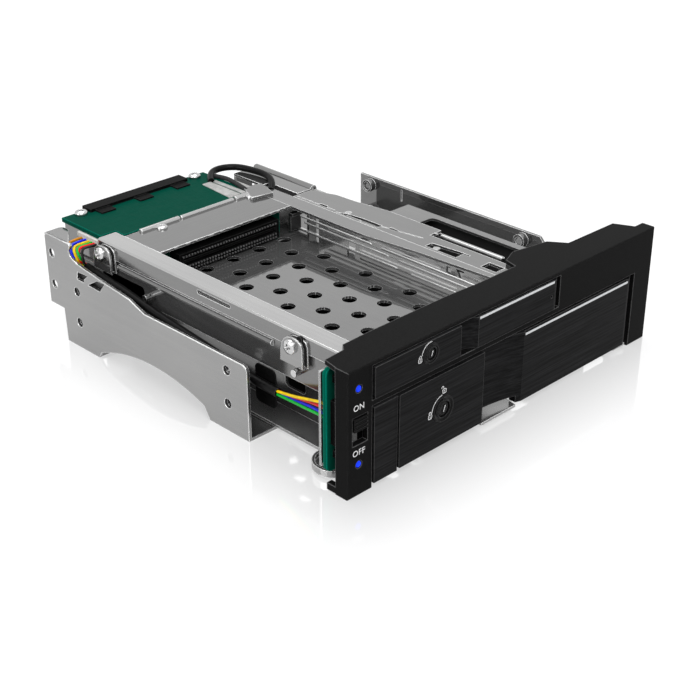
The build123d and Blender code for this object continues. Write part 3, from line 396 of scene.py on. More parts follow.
def metal(name, colour, roughness, edge=0.0002, grit=1800):
    """Small bright metal parts with a light uneven polish."""
    look, tree, shader, place = new_look(name)
    fine = grain(tree, place, (grit, grit, grit), 2)
    shade = tuple(c * 0.86 for c in colour)
    tree.links.new(spread(tree, fine, shade, colour), shader.inputs["Base Color"])
    tree.links.new(spread(tree, fine, roughness * 0.8, roughness * 1.3), shader.inputs["Roughness"])
    shader.inputs["Metallic"].default_value = 1
    relief(tree, shader, fine, 0.000001, edge)
    return look


def board_green(name, lit_share):
    """Circuit board: dark green solder mask over faint tracks, its greens scaled by a share of painted
    light, with a painted highlight in brighter green along the edges.
    """
    look, tree, shader, place = new_look(name)
    tracks = tree.nodes.new("ShaderNodeTexBrick")
    for socket, number in (("Scale", 1), ("Mortar Size", 0.00016), ("Brick Width", 0.0071),
                           ("Row Height", 0.0012)):
        tracks.inputs[socket].default_value = number
    for socket, green, blue in (("Color1", 0.047, 0.030), ("Color2", 0.050, 0.032),
                                ("Mortar", 0.056, 0.036)):
        tracks.inputs[socket].default_value = (0.0004, green * lit_share, blue * lit_share, 1)
    tree.links.new(place, tracks.inputs["Vector"])
    edge_highlight = (0.001, 0.120 * lit_share, 0.082 * lit_share)
    colour = masked(tree, edge_mask(tree, 0.0008), tracks.outputs["Color"], edge_highlight)
    tree.links.new(colour, shader.inputs["Base Color"])
    gloss = grain(tree, place, grey(500))
    tree.links.new(spread(tree, gloss, 0.40, 0.5), shader.inputs["Roughness"])
    shader.inputs["Specular IOR Level"].default_value = 0.01
    relief(tree, shader, tracks.outputs["Fac"], 0.000004)
    return look


def insulation(name, colour):
    """Wire insulation: glossy soft plastic with slight wear."""
    look, tree, shader, place = new_look(name)
    wear = grain(tree, place, (420, 420, 420), 2)
    shade = tuple(c * 0.72 for c in colour)
    tree.links.new(spread(tree, wear, shade, colour), shader.inputs["Base Color"])
    tree.links.new(spread(tree, wear, 0.28, 0.44), shader.inputs["Roughness"])
    shader.inputs["Specular IOR Level"].default_value = 0.25
    relief(tree, shader, wear, 0.00001)
    return look


def lamp_blue(name, centre):
    """Lit blue lamp: bright in the middle, fading to deep blue at the rim."""
    look, tree, shader, place = new_look(name)
    away = vector_maths(tree, "DISTANCE", place, centre)
    colour = spread(tree, away, (0.010, 0.045, 0.85), (0.002, 0.006, 0.10), 0.0002, 0.0011)
    tree.links.new(colour, shader.inputs["Base Color"])
    tree.links.new(colour, shader.inputs["Emission Color"])
    shader.inputs["Emission Strength"].default_value = 0.7
    shader.inputs["Specular IOR Level"].default_value = 0.05
    shader.inputs["Roughness"].default_value = 0.3
    return look


def glossy_black(name, tone):
    """Polished black lock parts with painted highlights on the rims."""
    look, tree, shader, place = new_look(name)
    fine = grain(tree, place, (1500, 1500, 1500), 2)
    polished = spread(tree, fine, grey(tone * 0.7), grey(tone))
    # Painted highlight: the rims turn a lighter grey.
    colour = masked(tree, edge_mask(tree, 0.0002), polished, grey(0.05))
    tree.links.new(colour, shader.inputs["Base Color"])
    tree.links.new(spread(tree, fine, 0.16, 0.22), shader.inputs["Roughness"])
    shader.inputs["Specular IOR Level"].default_value = 0.06
    return look


def paint(name, colour):
    """Printed marks on the black plastic, slightly uneven, and the painted highlights on the key slots."""
    look, tree, shader, place = new_look(name)
    tone = grain(tree, place, (3000, 3000, 3000), 2)
    shade = tuple(c * 0.88 for c in colour)
    tree.links.new(spread(tree, tone, shade, colour), shader.inputs["Base Color"])
    tree.links.new(spread(tree, tone, 0.5, 0.65), shader.inputs["Roughness"])
    return look


# Space of the lower bay, with its walls, where shade is painted on the steel: low and high X, then low and
# high depth
bay_inside = (-51.6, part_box("wall_35_right")[0].x / MM + 0.4, 9, 152)
# The sheet steel looks are copies of one zinc plated steel, toned lighter and darker for the light and
# shade on their parts: painted light and shade. Their roughness and plating differ as well.
looks = {look.name: look for look in (
    sheet_steel("sheet", 0.23, 0.265, 0.06, 0.10),
    sheet_steel("sheet_cross", 0.205, 0.24, 0.06, 0.10, (14, 900, 900)),
    sheet_steel("sheet_lit", 0.44, 0.52, 0.10, 0.16, painted_light_below=(40.5, 0.45)),
    sheet_steel("sheet_cheek", 0.275, 0.32, 0.08, 0.13),
    sheet_steel("sheet_mirror", 0.19, 0.22, 0.025, 0.04, plating=0.8),
    sheet_steel("sheet_dull", 0.30, 0.36, 0.35, 0.45, plating=0.3),
    sheet_steel("sheet_deck", 0.22, 0.255, 0.02, 0.035, edge=0.0002, edge_light=0.4, plating=0.76),
    sheet_steel("sheet_soft", 0.17, 0.22, 0.12, 0.2, plating=0.75),
    sheet_steel("sheet_bay", 0.17, 0.22, 0.12, 0.2, plating=0.75, painted_shade_box=bay_inside),
    sheet_steel("sheet_floor", 0.30, 0.38, 0.14, 0.22, plating=0.75, painted_shade_box=bay_inside),
    sheet_steel("sheet_wall", 0.24, 0.28, 0.08, 0.14, edge=0.00014, plating=0.8, painted_light_below=(39.6, 2.7)),
    sheet_steel("sheet_dark", 0.03, 0.045, 0.2, 0.3, edge_light=0.2, plating=0.5),
    moulded("bezel", grey(0.004), grey(0.010), 0.42, edge=0.0004, edge_light=0.14),
    brushed_black(),
    moulded("connector", grey(0.002), grey(0.007), 0.40, 1500, edge_light=0.03),
    moulded("housing_white", (0.50, 0.49, 0.46), (0.62, 0.61, 0.58), 0.45, 900, edge_light=0.8),
    moulded("cable_dark", grey(0.03), grey(0.045), 0.4, 1200),
    moulded("rubber", grey(0.002), grey(0.006), 0.32, 1200, shine=0.10),
    metal("strip", (0.62, 0.63, 0.64), 0.20),
    metal("bright", grey(0.58), 0.12),
    metal("pin", grey(0.45), 0.16),
    glossy_black("lock_black", 0.006),
    glossy_black("lock_grey", 0.012),
    board_green("board", 1.0),
    # Painted light: the board upright behind the bezel gets a copy of the green nearly twice as bright.
    board_green("board_front_lit", 1.9),
    paint("print_and_highlight", grey(0.95)),
    insulation("orange", (0.62, 0.24, 0.01)),
    insulation("blue", (0.01, 0.02, 0.78)),
    insulation("yellow", (0.90, 0.62, 0.0)),
    insulation("green", (0.0, 0.48, 0.04)),
    insulation("red", (0.80, 0.01, 0.008)),
    insulation("black", grey(0.010)),
    insulation("ribbon", (0.42, 0.42, 0.41)),
)}
look_nodes = {
    "bezel": "front_bezel",
    "panel": "fixed_panel door_35 door_25",
    "strip": "handle_strip_35 handle_strip_25",
    "lock_black": "lock_ring_35 lock_ring_25",
    "lock_grey": "lock_rotor_35 lock_rotor_25",
    "pin": "lock_cam_35 lock_cam_25 hinge_pin_35 hinge_pin_25 ejector_rod_25",
    "bright": "guide_rivets ejector_roller_25 board_screws bridge_screws tab_screws wall_studs",
    "sheet_deck": "perforated_deck",
    "sheet_dark": "ejector_slide_25",
    "sheet_cross": "rear_bridge rear_shelf",
    "sheet_wall": "wall_25_right",
    "sheet_bay": "wall_35_left wall_35_right",
    "sheet_floor": "floor_plate",
    "sheet_lit": "top_rail_left",
    "sheet_cheek": "side_bracket_left",
    "sheet_mirror": "side_bracket_right tab_bracket_front tab_bracket_rear",
    "sheet_soft": "upper_wall_left",
    "board": "rear_board backplane_35 backplane_25 control_board",
    "connector": "switch_knob drive_socket_35 drive_socket_25 switch_body rear_connector cable_sockets "
                 "status_lamps",
    "housing_white": "wire_header",
    "rubber": "rubber_bumper cable_sleeve loop_cable",
    "ribbon": "flat_cable",
    "orange": "wire_orange",
    "blue": "wire_blue",
    "yellow": "wire_yellow",
    "green": "wire_green",
    "red": "wire_red",
    "black": "wire_black",
}
node_looks = {node: look for look, nodes in look_nodes.items() for node in nodes.split()}
for node_name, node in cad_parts.items():
    look = looks[node_looks.get(node_name, "sheet")]
    node.data.materials.clear()
    node.data.materials.append(look)


# Left cheek with the notch that the wires pass, its feet and collars

cheek_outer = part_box("side_bracket_left")[0].x / MM
cheek_thick, foot_reach, sheet_thick = 1.2, 16.0, 1.0
mount_radius = 1.6
mount_places = [(depth, z) for depth in (54.7, 133.95) for z in (10.0, 21.84)]
arch_rear, arch_front = 122, 66.6
arch_base, arch_slope, arch_rise = 2.6, 1.6, 5.2
arch_depth = np.linspace(arch_rear, arch_front, 30)
arch_share = (arch_rear - arch_depth) / (arch_rear - arch_front)
arch_height = arch_base + arch_slope * arch_share + arch_rise * (1 - (2 * arch_share - 1) ** 2)
cheek_top = [(64, 0), (45, 0), (45, 24.8), (45.6, 26.0), (46.8, 26.6), (96, 26.6), (103.9, 29.3),
             (111, 30.1), (118.4, 30.8), (127.7, 32.1), (132.4, 32.7), (135.3, 33.8), (136.5, 34.9),
             (136.9, 36.4), (135.9, 38.4), (136.5, 39), (150, 39), (151, 38), (151, 12.5), (143, 12.5),
             (142.4, 0), (124, 0)]
cheek_line = np.vstack([cheek_top, np.stack([arch_depth, arch_height], 1)])
cheek_holes = [hole(depth, z, mount_radius) for depth, z in mount_places]
cheek_holes += [hole(147.5, z, mount_radius) for z in (20.4, 32.3)]
cheek_holes += [np.array([(133.1, 26.9), (132.6, 29.8), (126.6, 30.1), (129.0, 28.2), (129.2, 26.9)]),
                np.array([(127.0, 26.7), (121.3, 30.0), (117.0, 30.3), (118.7, 28.2), (120.0, 26.6)])]
cheek = pressed_sheet("cheek_left", cheek_line, cheek_outer, cheek_thick, "side", "sheet_cheek",
                      cheek_holes)
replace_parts(cheek, "side_bracket_left")
for foot_name, foot_front, foot_rear in (("foot_left_front", 45, 64), ("foot_left_rear", 124, 142.4)):
    foot_line = box_line(cheek_outer + 0.2, cheek_outer + foot_reach, foot_front, foot_rear, 1.0)
    foot = pressed_sheet(foot_name, foot_line, 0.0, sheet_thick, "top", "sheet_cheek")
    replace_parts(foot, "side_bracket_left")
collar_profile = [(1.6, 0), (2.6, 0), (2.6, 2.3), (2.4, 2.6), (1.8, 2.6), (1.6, 2.4)]
collar_face = cheek_outer + cheek_thick - 0.05
for i, (depth, z) in enumerate(mount_places):
    ring = turned(collar_profile, at(collar_face, depth, z), (1, 0, 0), 40)
    collar = surface(f"collar_left_{i + 1}", ring, "bright", "cage", around_u=True,
                     around_v=True)
    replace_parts(collar, "side_bracket_left")
fold_line = [(-72.8, 136.6), (-72.8, 151), (-67.0, 151), (-66.0, 150.6), (-65.5, 149.6), (-65.6, 146.8)]
top_fold = pressed_sheet("cheek_fold", fold_line, 38.0, sheet_thick, "top", "sheet_cheek")
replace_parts(top_fold, "side_bracket_left")

# Bridge with its rolled lip and painted edge highlights, rear board and side deck

bridge_z = 40.0
bridge_line = [(-58, 105.2), (0.8, 105.2), (0.8, 124.6), (-58, 124.6)]
bridge = pressed_sheet("bridge", bridge_line, bridge_z, sheet_thick, "top", "sheet_cross")
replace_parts(bridge, "rear_bridge")
lip_depth, lip_z, lip_taper = 123.6, 41.2, 0.25
lip_angle = np.linspace(-0.35 * pi, 1.15 * pi, 16)
lip_shrink = np.array([0.8, 1, 1, 0.8])[:, None]
for i, (left, right, radius) in enumerate(((-52.0, -35.2, 0.95), (-34.4, -10.2, 0.8), (-9.4, -3.2, 1.0))):
    ends = np.array([left, left + lip_taper, right - lip_taper, right])[:, None]
    lip_y = front + (lip_depth + radius * np.cos(lip_angle) * lip_shrink) * MM
    lip_top = (lip_z + radius * np.sin(lip_angle) * lip_shrink) * MM
    lip = np.stack([np.broadcast_to(ends * MM, lip_y.shape), lip_y, lip_top], -1)
    shown = surface(f"bridge_lip_{i + 1}", lip, "sheet_lit", "cage", around_v=True,
                    capped=True)
    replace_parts(shown, "rear_bridge")


def row_of_bars(name, xs, widths, depth, z, deep, high, look):
    """Small bars side by side at one depth and height."""
    centres = [at(x, depth, z) for x in xs]
    sizes = [(width * MM, deep * MM, high * MM) for width in widths]
    return blocks(name, centres, sizes, look, "cage")


# Painted highlight: short bright bars along the bridge's front edge stand in for its broken edge highlight.
highlight_x = [-51.5, -46.2, -42.6, -36.0, -31.4, -27.0, -22.5, -16.4, -12.8, -8.6, -5.2, -2.0]
highlight_long = [1.4, 2.2, 1.0, 2.4, 1.2, 2.6, 1.0, 2.2, 1.8, 1.0, 1.6, 1.0]
bridge_edge_highlights = row_of_bars("bridge_edge_highlights", highlight_x, highlight_long, 105.0, 40.65, 0.5, 0.6, "bright")
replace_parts(bridge_edge_highlights, "rear_bridge")
board_thick, board_rounding = 1.6, 0.1
board_line = [(-64, 130.2), (-57.7, 130.2), (-57.7, 125.2), (0, 125.2), (0, 153), (-64, 153)]
board = pressed_sheet("board_rear", board_line, 39.6, board_thick, "top", "board",
                      rounding=board_rounding)
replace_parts(board, "rear_board")
deck_line = [(10.8, 112), (18.8, 112), (18.8, 144), (7.6, 144), (7.6, 127.4), (10.8, 127.4)]
side_deck = pressed_sheet("side_deck", deck_line, bridge_z, sheet_thick, "top", "sheet")
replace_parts(side_deck, "rear_side_deck")
leg_line = [(7.6, 29.8), (15.8, 29.8), (15.8, bridge_z), (7.6, bridge_z)]
side_leg = pressed_sheet("side_deck_leg", leg_line, 143.0, sheet_thick, "front", "sheet")
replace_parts(side_leg, "rear_side_deck")
rolled = turned([(1.6, 0), (1.6, 32), (0.9, 32), (0.9, 0)], at(18.8, 112, 40.4), (0, 1, 0), 32)
deck_roll = surface("side_deck_roll", rolled, "sheet", "cage", around_u=True, around_v=True)
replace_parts(deck_roll, "rear_side_deck")

# Contacts of the 2.5 inch socket, the upright behind the control board and sheets seen at the left

pin_pitch, pin_width = 1.27, 0.5
pin_x = np.arange(-48.6, -6.0, pin_pitch)
for row_name, row_z in (("contacts_low", 31.3), ("contacts_middle", 32.5), ("contacts_high", 36.4)):
    row_of_bars(row_name, pin_x, [pin_width] * pin_x.size, 104.8, row_z, 0.5, 0.55, "sheet_dark")
pressed_sheet("front_upright", box_line(-72.6, -65.6, 5.4, 37.6, 0.4), 12.9, 0.9, "front", "sheet_cheek")
pressed_sheet("sleeve_guard", box_line(39.8, 49.4, 10.8, 24.4, 1.8), -65.9, 0.4, "side", "connector",
              rounding=0.1)
pressed_sheet("shelf_apron", box_line(106.0, 150.4, 12.0, 30.0, 1.5), -64.6, 0.8, "side", "sheet_dull")
# Painted shade: a dark sheet behind the cheek's windows makes them read dark.
pressed_sheet("window_shade_sheet", box_line(118.0, 134.0, 26.0, 30.3, 0.6), -71.4, 0.4, "side", "sheet_dark",
              rounding=0.1)

# Control board with rounded corners, tabs and the ribs of the right wall

board_low, board_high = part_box("control_board")
board_corners = box_line(board_low.x / MM, board_high.x / MM, board_low.z / MM, board_high.z / MM, 1.8)
board_face = (board_low.y - front) / MM
board_back = (board_high.y - front) / MM
upright = pressed_sheet("board_upright", board_corners, board_face, board_thick, "front", "board_front_lit",
                        rounding=board_rounding)
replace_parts(upright, "control_board")
ear_x, back_x, tab_z = -67.2, -65.8, 30.6
tab_outline = np.array([(10.0, tab_z), (9.8, 34.0), (9.3, 36.6), (8.2, 38.6), (6.6, 39.7), (4.6, 39.9),
                        (2.2, 39.7), (0.8, 38.9), (0.1, 37.4), (0.0, tab_z)])
for tab, near in (("tab_bracket_front", 26.2), ("tab_bracket_rear", 120.9)):
    tab_line = tab_outline + [near, 0]
    ear = pressed_sheet(tab + "_ear", tab_line, ear_x, 0.9, "side", "sheet_cheek", rounding=0.2)
    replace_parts(ear, tab)
    back_line = tab_line + [-0.9, 0.3]
    back_ear = pressed_sheet(tab + "_back", back_line, back_x, 0.5, "side", "sheet", rounding=0.15)
    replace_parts(back_ear, tab)
    base_line = box_line(-67.0, -64.6, near + 0.4, near + 9.6)
    base = pressed_sheet(tab + "_base", base_line, tab_z, 0.8, "top", "sheet")
    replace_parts(base, tab)
wall_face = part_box("wall_25_right")[0].x / MM
rib_reach = 0.4
rib_angle = np.linspace(-0.5 * pi, 0.5 * pi, 9)
rib_size = np.array([0.05, 0.7, 1.0, 1.0, 0.7, 0.05])[:, None] * rib_reach
for i, (near, far, z) in enumerate(((14, 46, 33.4), (14, 52, 36.6), (52, 98, 33.6), (56, 98, 36.8),
                                    (16, 60, 38.6), (64, 100, 38.7))):
    along = front + np.array([near, near + 0.3, near + 0.8, far - 0.8, far - 0.3, far])[:, None] * MM
    rib_x = (wall_face - rib_size * np.cos(rib_angle)) * MM
    rib_z = (z + rib_size * np.sin(rib_angle)) * MM
    rib = np.stack([rib_x, np.broadcast_to(along, rib_x.shape), rib_z], -1)
    surface(f"wall_rib_{i + 1}", rib, "sheet_cheek", "cage", around_v=True, capped=True)


# Printed marks

def printed_word(name, word, x, z, height):
    """Word printed on the bezel face."""
    text = bpy.data.curves.new(name, "FONT")
    text.body = word
    text.size = height * MM / capital_share
    text.align_x = "CENTER"
    text.align_y = "CENTER"
    text.offset = 0.00002
    text.extrude = 0.00003
    text.space_character = 1.08
    mesh = mesh_of(name, text, "print_and_highlight")
    mesh.transform(Matrix.Translation(Vector(at(x, word_face, z))) @ Matrix.Rotation(pi / 2, 4, "X"))
    return placed(name, mesh, "cage")


def ribbon_on_face(name, path, width, depth, body, closed=False):
    """Flat line for print and painted highlights: a thin rectangle carried along a path of X and Z in the
    face plane.
    """
    path = np.array(path, float)
    ahead = np.roll(path, -1, 0) - np.roll(path, 1, 0) if closed else np.gradient(path, axis=0)
    ahead = ahead / np.linalg.norm(ahead, axis=1)[:, None]
    across = np.stack([-ahead[:, 1], ahead[:, 0]], 1) * width / 2
    corner_side = np.array([1, -1, -1, 1])
    corner_depth = np.array([depth, depth, depth - print_thick, depth - print_thick])
    flat = path[:, None, :] + across[:, None, :] * corner_side[None, :, None]
    line_y = np.broadcast_to(front + corner_depth * MM, flat.shape[:2])
    grid = np.stack([flat[..., 0] * MM, line_y, flat[..., 1] * MM], -1)
    return surface(name, grid, "print_and_highlight", body, around_u=closed, around_v=True,
                   capped=not closed, smooth=False)


def arc(x, z, radius, start, end, steps=24):
    """Points of an arc in the face plane, angles in degrees from +X."""
    angle = np.radians(np.linspace(start, end, steps))
    return np.stack([x + radius * np.cos(angle), z + radius * np.sin(angle)], 1)


def padlock(name, x, z, size, open_side, depth, body):
    """Padlock mark: a rounded square outline for the body, and an arch for the shackle."""
    angle = np.linspace(0, 2 * pi, 40, endpoint=False)
    squareness = (np.abs(np.cos(angle)) ** 5 + np.abs(np.sin(angle)) ** 5) ** (-1 / 5)
    half_wide, half_high, line = size * 0.5, size * 0.46, size * 0.16
    outline = np.stack([x + half_wide * squareness * np.cos(angle),
                        z + half_high * squareness * np.sin(angle)], 1)
    ribbon_on_face(name + "_body", outline, line, depth, body, closed=True)
    ribbon_on_face(name + "_keyway", [[x, z + line], [x, z], [x, z - line]], line, depth, body)
    middle = x - size * 0.55 if open_side else x
    lift = size * 0.30 if open_side else size * 0.22
    top, bow = z + half_high, size * 0.30
    shackle = arc(middle, top + lift + size * 0.12, bow, 0, 180, 14)
    legs = np.vstack([[middle + bow, top], shackle, [middle - bow, top + (lift if open_side else 0)]])
    ribbon_on_face(name + "_shackle", legs, size * 0.17, depth, body)


capital_share = 0.72
print_thick = 0.06
word_face, words_x = -0.02, -69.8
printed_word("word_on", "ON", words_x, 29.9, 1.95)
printed_word("word_off", "OFF", words_x, 14.9, 2.0)
door_face = -0.82
lock_35 = (-34.4, 15.4)
lock_25 = (-40.7, 36.7)
padlock("padlock_shut_35", -40.2, 14.7, 1.5, False, door_face, "door_35")
padlock("padlock_open_35", -34.0, 21.4, 1.5, True, door_face, "door_35")
padlock("padlock_shut_25", -45.3, 35.9, 1.4, False, door_face, "door_25")
mark_width = 0.22
ribbon_on_face("turn_mark_35", arc(*lock_35, 5.0, 176, 96), mark_width, door_face, "door_35")
ribbon_on_face("turn_mark_25", arc(*lock_25, 3.9, 172, 84), mark_width, door_face, "door_25")


# Locks

def lock_face(size, centre, radius, wall, door_body, key_body, ring_node, rotor_node):
    """Lock seen from the front: a ring with a rounded lip, and a rotor with a stepped face and slot."""
    x, z = centre
    middle = at(x, 0, z)
    inner = radius - 2 * wall
    ring = [(inner, -1.7), (inner, 0.9), (inner + 0.12, 1.22), (inner + 0.3, 1.3), (inner + 0.45, 1.2),
            (inner + 0.5, 1.02), (inner + 0.62, 0.98), (radius - 0.8, 1.12), (radius - 0.5, 1.25),
            (radius - 0.2, 1.2), (radius, 0.98), (radius, 0.8), (radius - wall, 0.8), (radius - wall, -2.1),
            (inner, -2.1)]
    outline = turned(ring, middle, (0, -1, 0), 72)
    shown = surface(f"lock_housing_{size}", outline, "lock_black", door_body,
                    around_u=True, around_v=True)
    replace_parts(shown, ring_node)
    turn = np.linspace(0, 2 * pi, 72, endpoint=False)
    reach = np.concatenate([[inner - 0.07, inner - 0.07], np.linspace(inner - 0.12, 0.02, 22)])
    steps = [0, 0.40 * inner, 0.46 * inner, 0.7 * inner, 0.75 * inner, inner - 0.3, inner - 0.07]
    stand = np.interp(reach, steps, [0.75, 0.75, 1.05, 1.05, 0.85, 0.85, 0.7])
    stand[0] = rotor_back
    side = reach[:, None] * np.cos(turn)
    rise = reach[:, None] * np.sin(turn)
    along = side * cos(key_tilt) + rise * sin(key_tilt)
    across = -side * sin(key_tilt) + rise * cos(key_tilt)
    in_slot = (np.abs(along) < 0.62 * inner) & (np.abs(across) < 0.13 * inner) & (stand[:, None] > 0)
    height = np.where(in_slot, slot_floor, stand[:, None])
    grid = np.stack([middle[0] + side * MM, middle[1] - height * MM, middle[2] + rise * MM], -1)
    face = surface(f"lock_plug_{size}", grid, "lock_grey", key_body, around_v=True,
                   capped=True)
    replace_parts(face, rotor_node)


key_tilt, slot_side, rotor_face = radians(70), 0.35, -1.08
# Painted highlight: a white line along one side of each key slot.
for size, centre, length in (("35", lock_35, 1.1), ("25", lock_25, 0.9)):
    reach = np.linspace(-length, length, 6)
    path = np.stack([centre[0] + reach * cos(key_tilt) + slot_side, centre[1] + reach * sin(key_tilt)], 1)
    ribbon_on_face("key_slot_highlight_" + size, path, mark_width, rotor_face, "key_" + size)
slot_floor, rotor_back = -0.2, -2.3
lock_face("35", lock_35, 4.6, 1.0, "door_35", "key_35", "lock_ring_35", "lock_rotor_35")
lock_face("25", lock_25, 3.5, 0.8, "door_25", "key_25", "lock_ring_25", "lock_rotor_25")


# Lamps

lens_profile = [(1.05, -1.5), (1.05, -0.35), (0.98, -0.1), (0.8, 0.06), (0.45, 0.14), (0.02, 0.16)]
for lamp_name, lamp_z in (("lamp_upper", 35.9), ("lamp_lower", 10.8)):
    lens_centre = at(words_x, 0.0, lamp_z)
    looks[lamp_name] = lamp_blue(lamp_name, tuple(lens_centre))
    surface(lamp_name, turned(lens_profile, lens_centre, (0, -1, 0), 40), lamp_name, "cage",
            around_v=True, capped=True)


# Screws

def screw(name, centre, axis, radius, height):
    """Pan head: a domed disc, lowered where the cross recess is, over a straight rim."""
    axis, side, other = round_axes(axis)
    turn = np.linspace(0, 2 * pi, 64, endpoint=False)
    reach = np.concatenate([[1, 1], np.linspace(0.97, 0.01, 20)])
    dome = height * (rim_share + (1 - rim_share) * np.sqrt(np.clip(1 - reach ** 2, 0, 1)))
    dome[0] = 0
    first = reach[:, None] * np.cos(turn)
    second = reach[:, None] * np.sin(turn)
    small = np.minimum(np.abs(first), np.abs(second))
    large = np.maximum(np.abs(first), np.abs(second))
    arm = (small < arm_half) & (large < arm_long)
    fall = recess_share * height * np.clip((recess_reach - np.hypot(first, second)) / recess_slope, 0, 1)
    lift = dome[:, None] - np.where(arm, fall, 0)
    spot = radius * MM * (first[..., None] * side + second[..., None] * other)
    grid = centre + spot + MM * lift[..., None] * axis
    return surface(name, grid, "bright", "cage", around_v=True, capped=True)


def screws_for(node, places, axis, radius, height):
    """Detailed heads in place of a node's plain ones."""
    for i, place in enumerate(places):
        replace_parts(screw(f"{node}_{i + 1}", place, axis, radius, height), node)


# Shares of a head's height, then of its radius
rim_share, recess_share = 0.45, 0.55
arm_half, arm_long, recess_reach, recess_slope = 0.13, 0.52, 0.55, 0.25
board_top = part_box("board_screws")[0].z / MM
board_places = [at(x, 150.6, board_top) for x in (-57.4, -6.1)]
screws_for("board_screws", board_places, (0, 0, 1), 2.3, 1.8)
bridge_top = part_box("bridge_screws")[0].z / MM
bridge_places = [at(x, 121.4, bridge_top) for x in (-44.4, -3.5)]
screws_for("bridge_screws", bridge_places, (0, 0, 1), 2.0, 1.1)
tab_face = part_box("tab_screws")[1].x / MM
tab_places = [at(tab_face, depth, 36.9) for depth in (31.2, 125.9)]
screws_for("tab_screws", tab_places, (-1, 0, 0), 2.4, 1.6)


# Wires and cables

def lead(name, node, routes, radius, look):
    """Lead held at both ends: each route is one smooth line with a round section."""
    line = bpy.data.curves.new(name, "CURVE")
    line.dimensions = "3D"
    line.bevel_depth = radius * MM
    line.bevel_resolution = 4
    line.use_fill_caps = True
    line.resolution_u = 10
    for route in routes:
        spline = line.splines.new("NURBS")
        spline.points.add(len(route) - 1)
        points = np.array([np.append(at(*point), 1.0) for point in route], np.float32)
        spline.points.foreach_set("co", points.ravel())
        spline.order_u = 3
        spline.use_endpoint_u = True
    line.materials.append(looks[look])
    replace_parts(placed(name, line, "cage"), node)


sleeve_x = -68.6
sleeve_route = [(sleeve_x, 133.0, 30.1), (sleeve_x, 124.0, 29.0), (sleeve_x, 112.0, 28.0),
                (sleeve_x, 103.0, 26.6), (sleeve_x, 83.0, 24.1), (sleeve_x + 0.3, 66.0, 22.2),
                (sleeve_x + 0.7, 50.0, 19.7), (sleeve_x + 0.8, 43.0, 19.2), (sleeve_x + 0.8, 36.6, 19.2)]
lead("sleeve", "cable_sleeve", [sleeve_route], 1.6, "rubber")
loop_z = 42.6
loop_route = [(-5.0, 142.2, 41.9), (-1.8, 147.0, loop_z), (4.2, 149.0, loop_z), (10.2, 146.0, loop_z),
              (12.4, 138.6, loop_z), (12.8, 131.0, loop_z), (10.4, 125.0, 42.2), (7.0, 122.2, 40.6)]
inner_route = [(-1.4, 146.4, 41.9), (0.8, 141.6, 41.9), (0.4, 136.0, 41.9), (-0.6, 130.9, 41.9),
               (-1.2, 126.6, 41.6)]
lead("loop", "loop_cable", [loop_route], 1.25, "rubber")
lead("loop_inner", "loop_cable", [inner_route], 0.85, "cable_dark")
header_face, header_exit = -64.9, 37.7
header_box = pressed_sheet("header", box_line(130.9, 142.8, 36.0, 39.5, 0.4), header_face, 1.4, "side",
                           "housing_white", rounding=0.25)
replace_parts(header_box, "wire_header")
sleeve_rear, sleeve_front = sleeve_route[0], sleeve_route[-1]
# Rear leads: start depth on the header, then X, depth and Z of the outermost point
rear_places = {"wire_black": (131.7, -70.0, 132.2, 34.2), "wire_red": (132.9, -70.5, 133.6, 34.0),
               "wire_green": (134.3, -70.8, 133.1, 36.1), "wire_yellow": (135.9, -71.2, 134.4, 35.4),
               "wire_blue": (137.8, -71.5, 135.9, 35.4), "wire_orange": (140.2, -71.7, 137.1, 36.3)}
# Front leads: X and Z from the middle of the sleeve, then Z on the board
front_places = {"wire_yellow": (-0.35, 0.5, 26.7), "wire_red": (0.3, 0.2, 25.2),
                "wire_blue": (0.3, -0.3, 23.4), "wire_green": (-0.35, -0.5, 22.2)}
wire_radius, bundle_radius = 0.46, 0.8
landing_x = sleeve_x - 2.9
for i, (wire_name, (start, out_x, out_depth, out_z)) in enumerate(rear_places.items()):
    around = radians(60 * i)
    x, z = sleeve_rear[0] + bundle_radius * cos(around), sleeve_rear[2] + bundle_radius * sin(around)
    routes = [[(header_face + 0.4, start, header_exit), (header_face - 2.4, start, header_exit + 0.2),
               (out_x - 0.5, (start + out_depth) / 2 + 0.8, header_exit - 0.1),
               (out_x - 0.5, out_depth - 0.4, out_z - 1.6), (x - 0.5, 134.4, z + 0.5), (x, 132.2, z)]]
    if wire_name in front_places:
        aside, lift, z_board = front_places[wire_name]
        x, z = sleeve_front[0] + aside, sleeve_front[2] + lift
        fall = z_board - z
        routes.append([(x, sleeve_front[1] + 0.6, z), (x - 0.4, 31.0, z + 0.15 * fall),
                       (x - 2.4, 20.0, z + 0.7 * fall), (landing_x, board_back + 2.6, z + fall),
                       (landing_x, board_back, z + fall)])
    colour = wire_name.split("_")[1]
    lead(wire_name + "_lead", wire_name, routes, wire_radius, colour)


# Sockets of the loop cable and the ribbons on the board

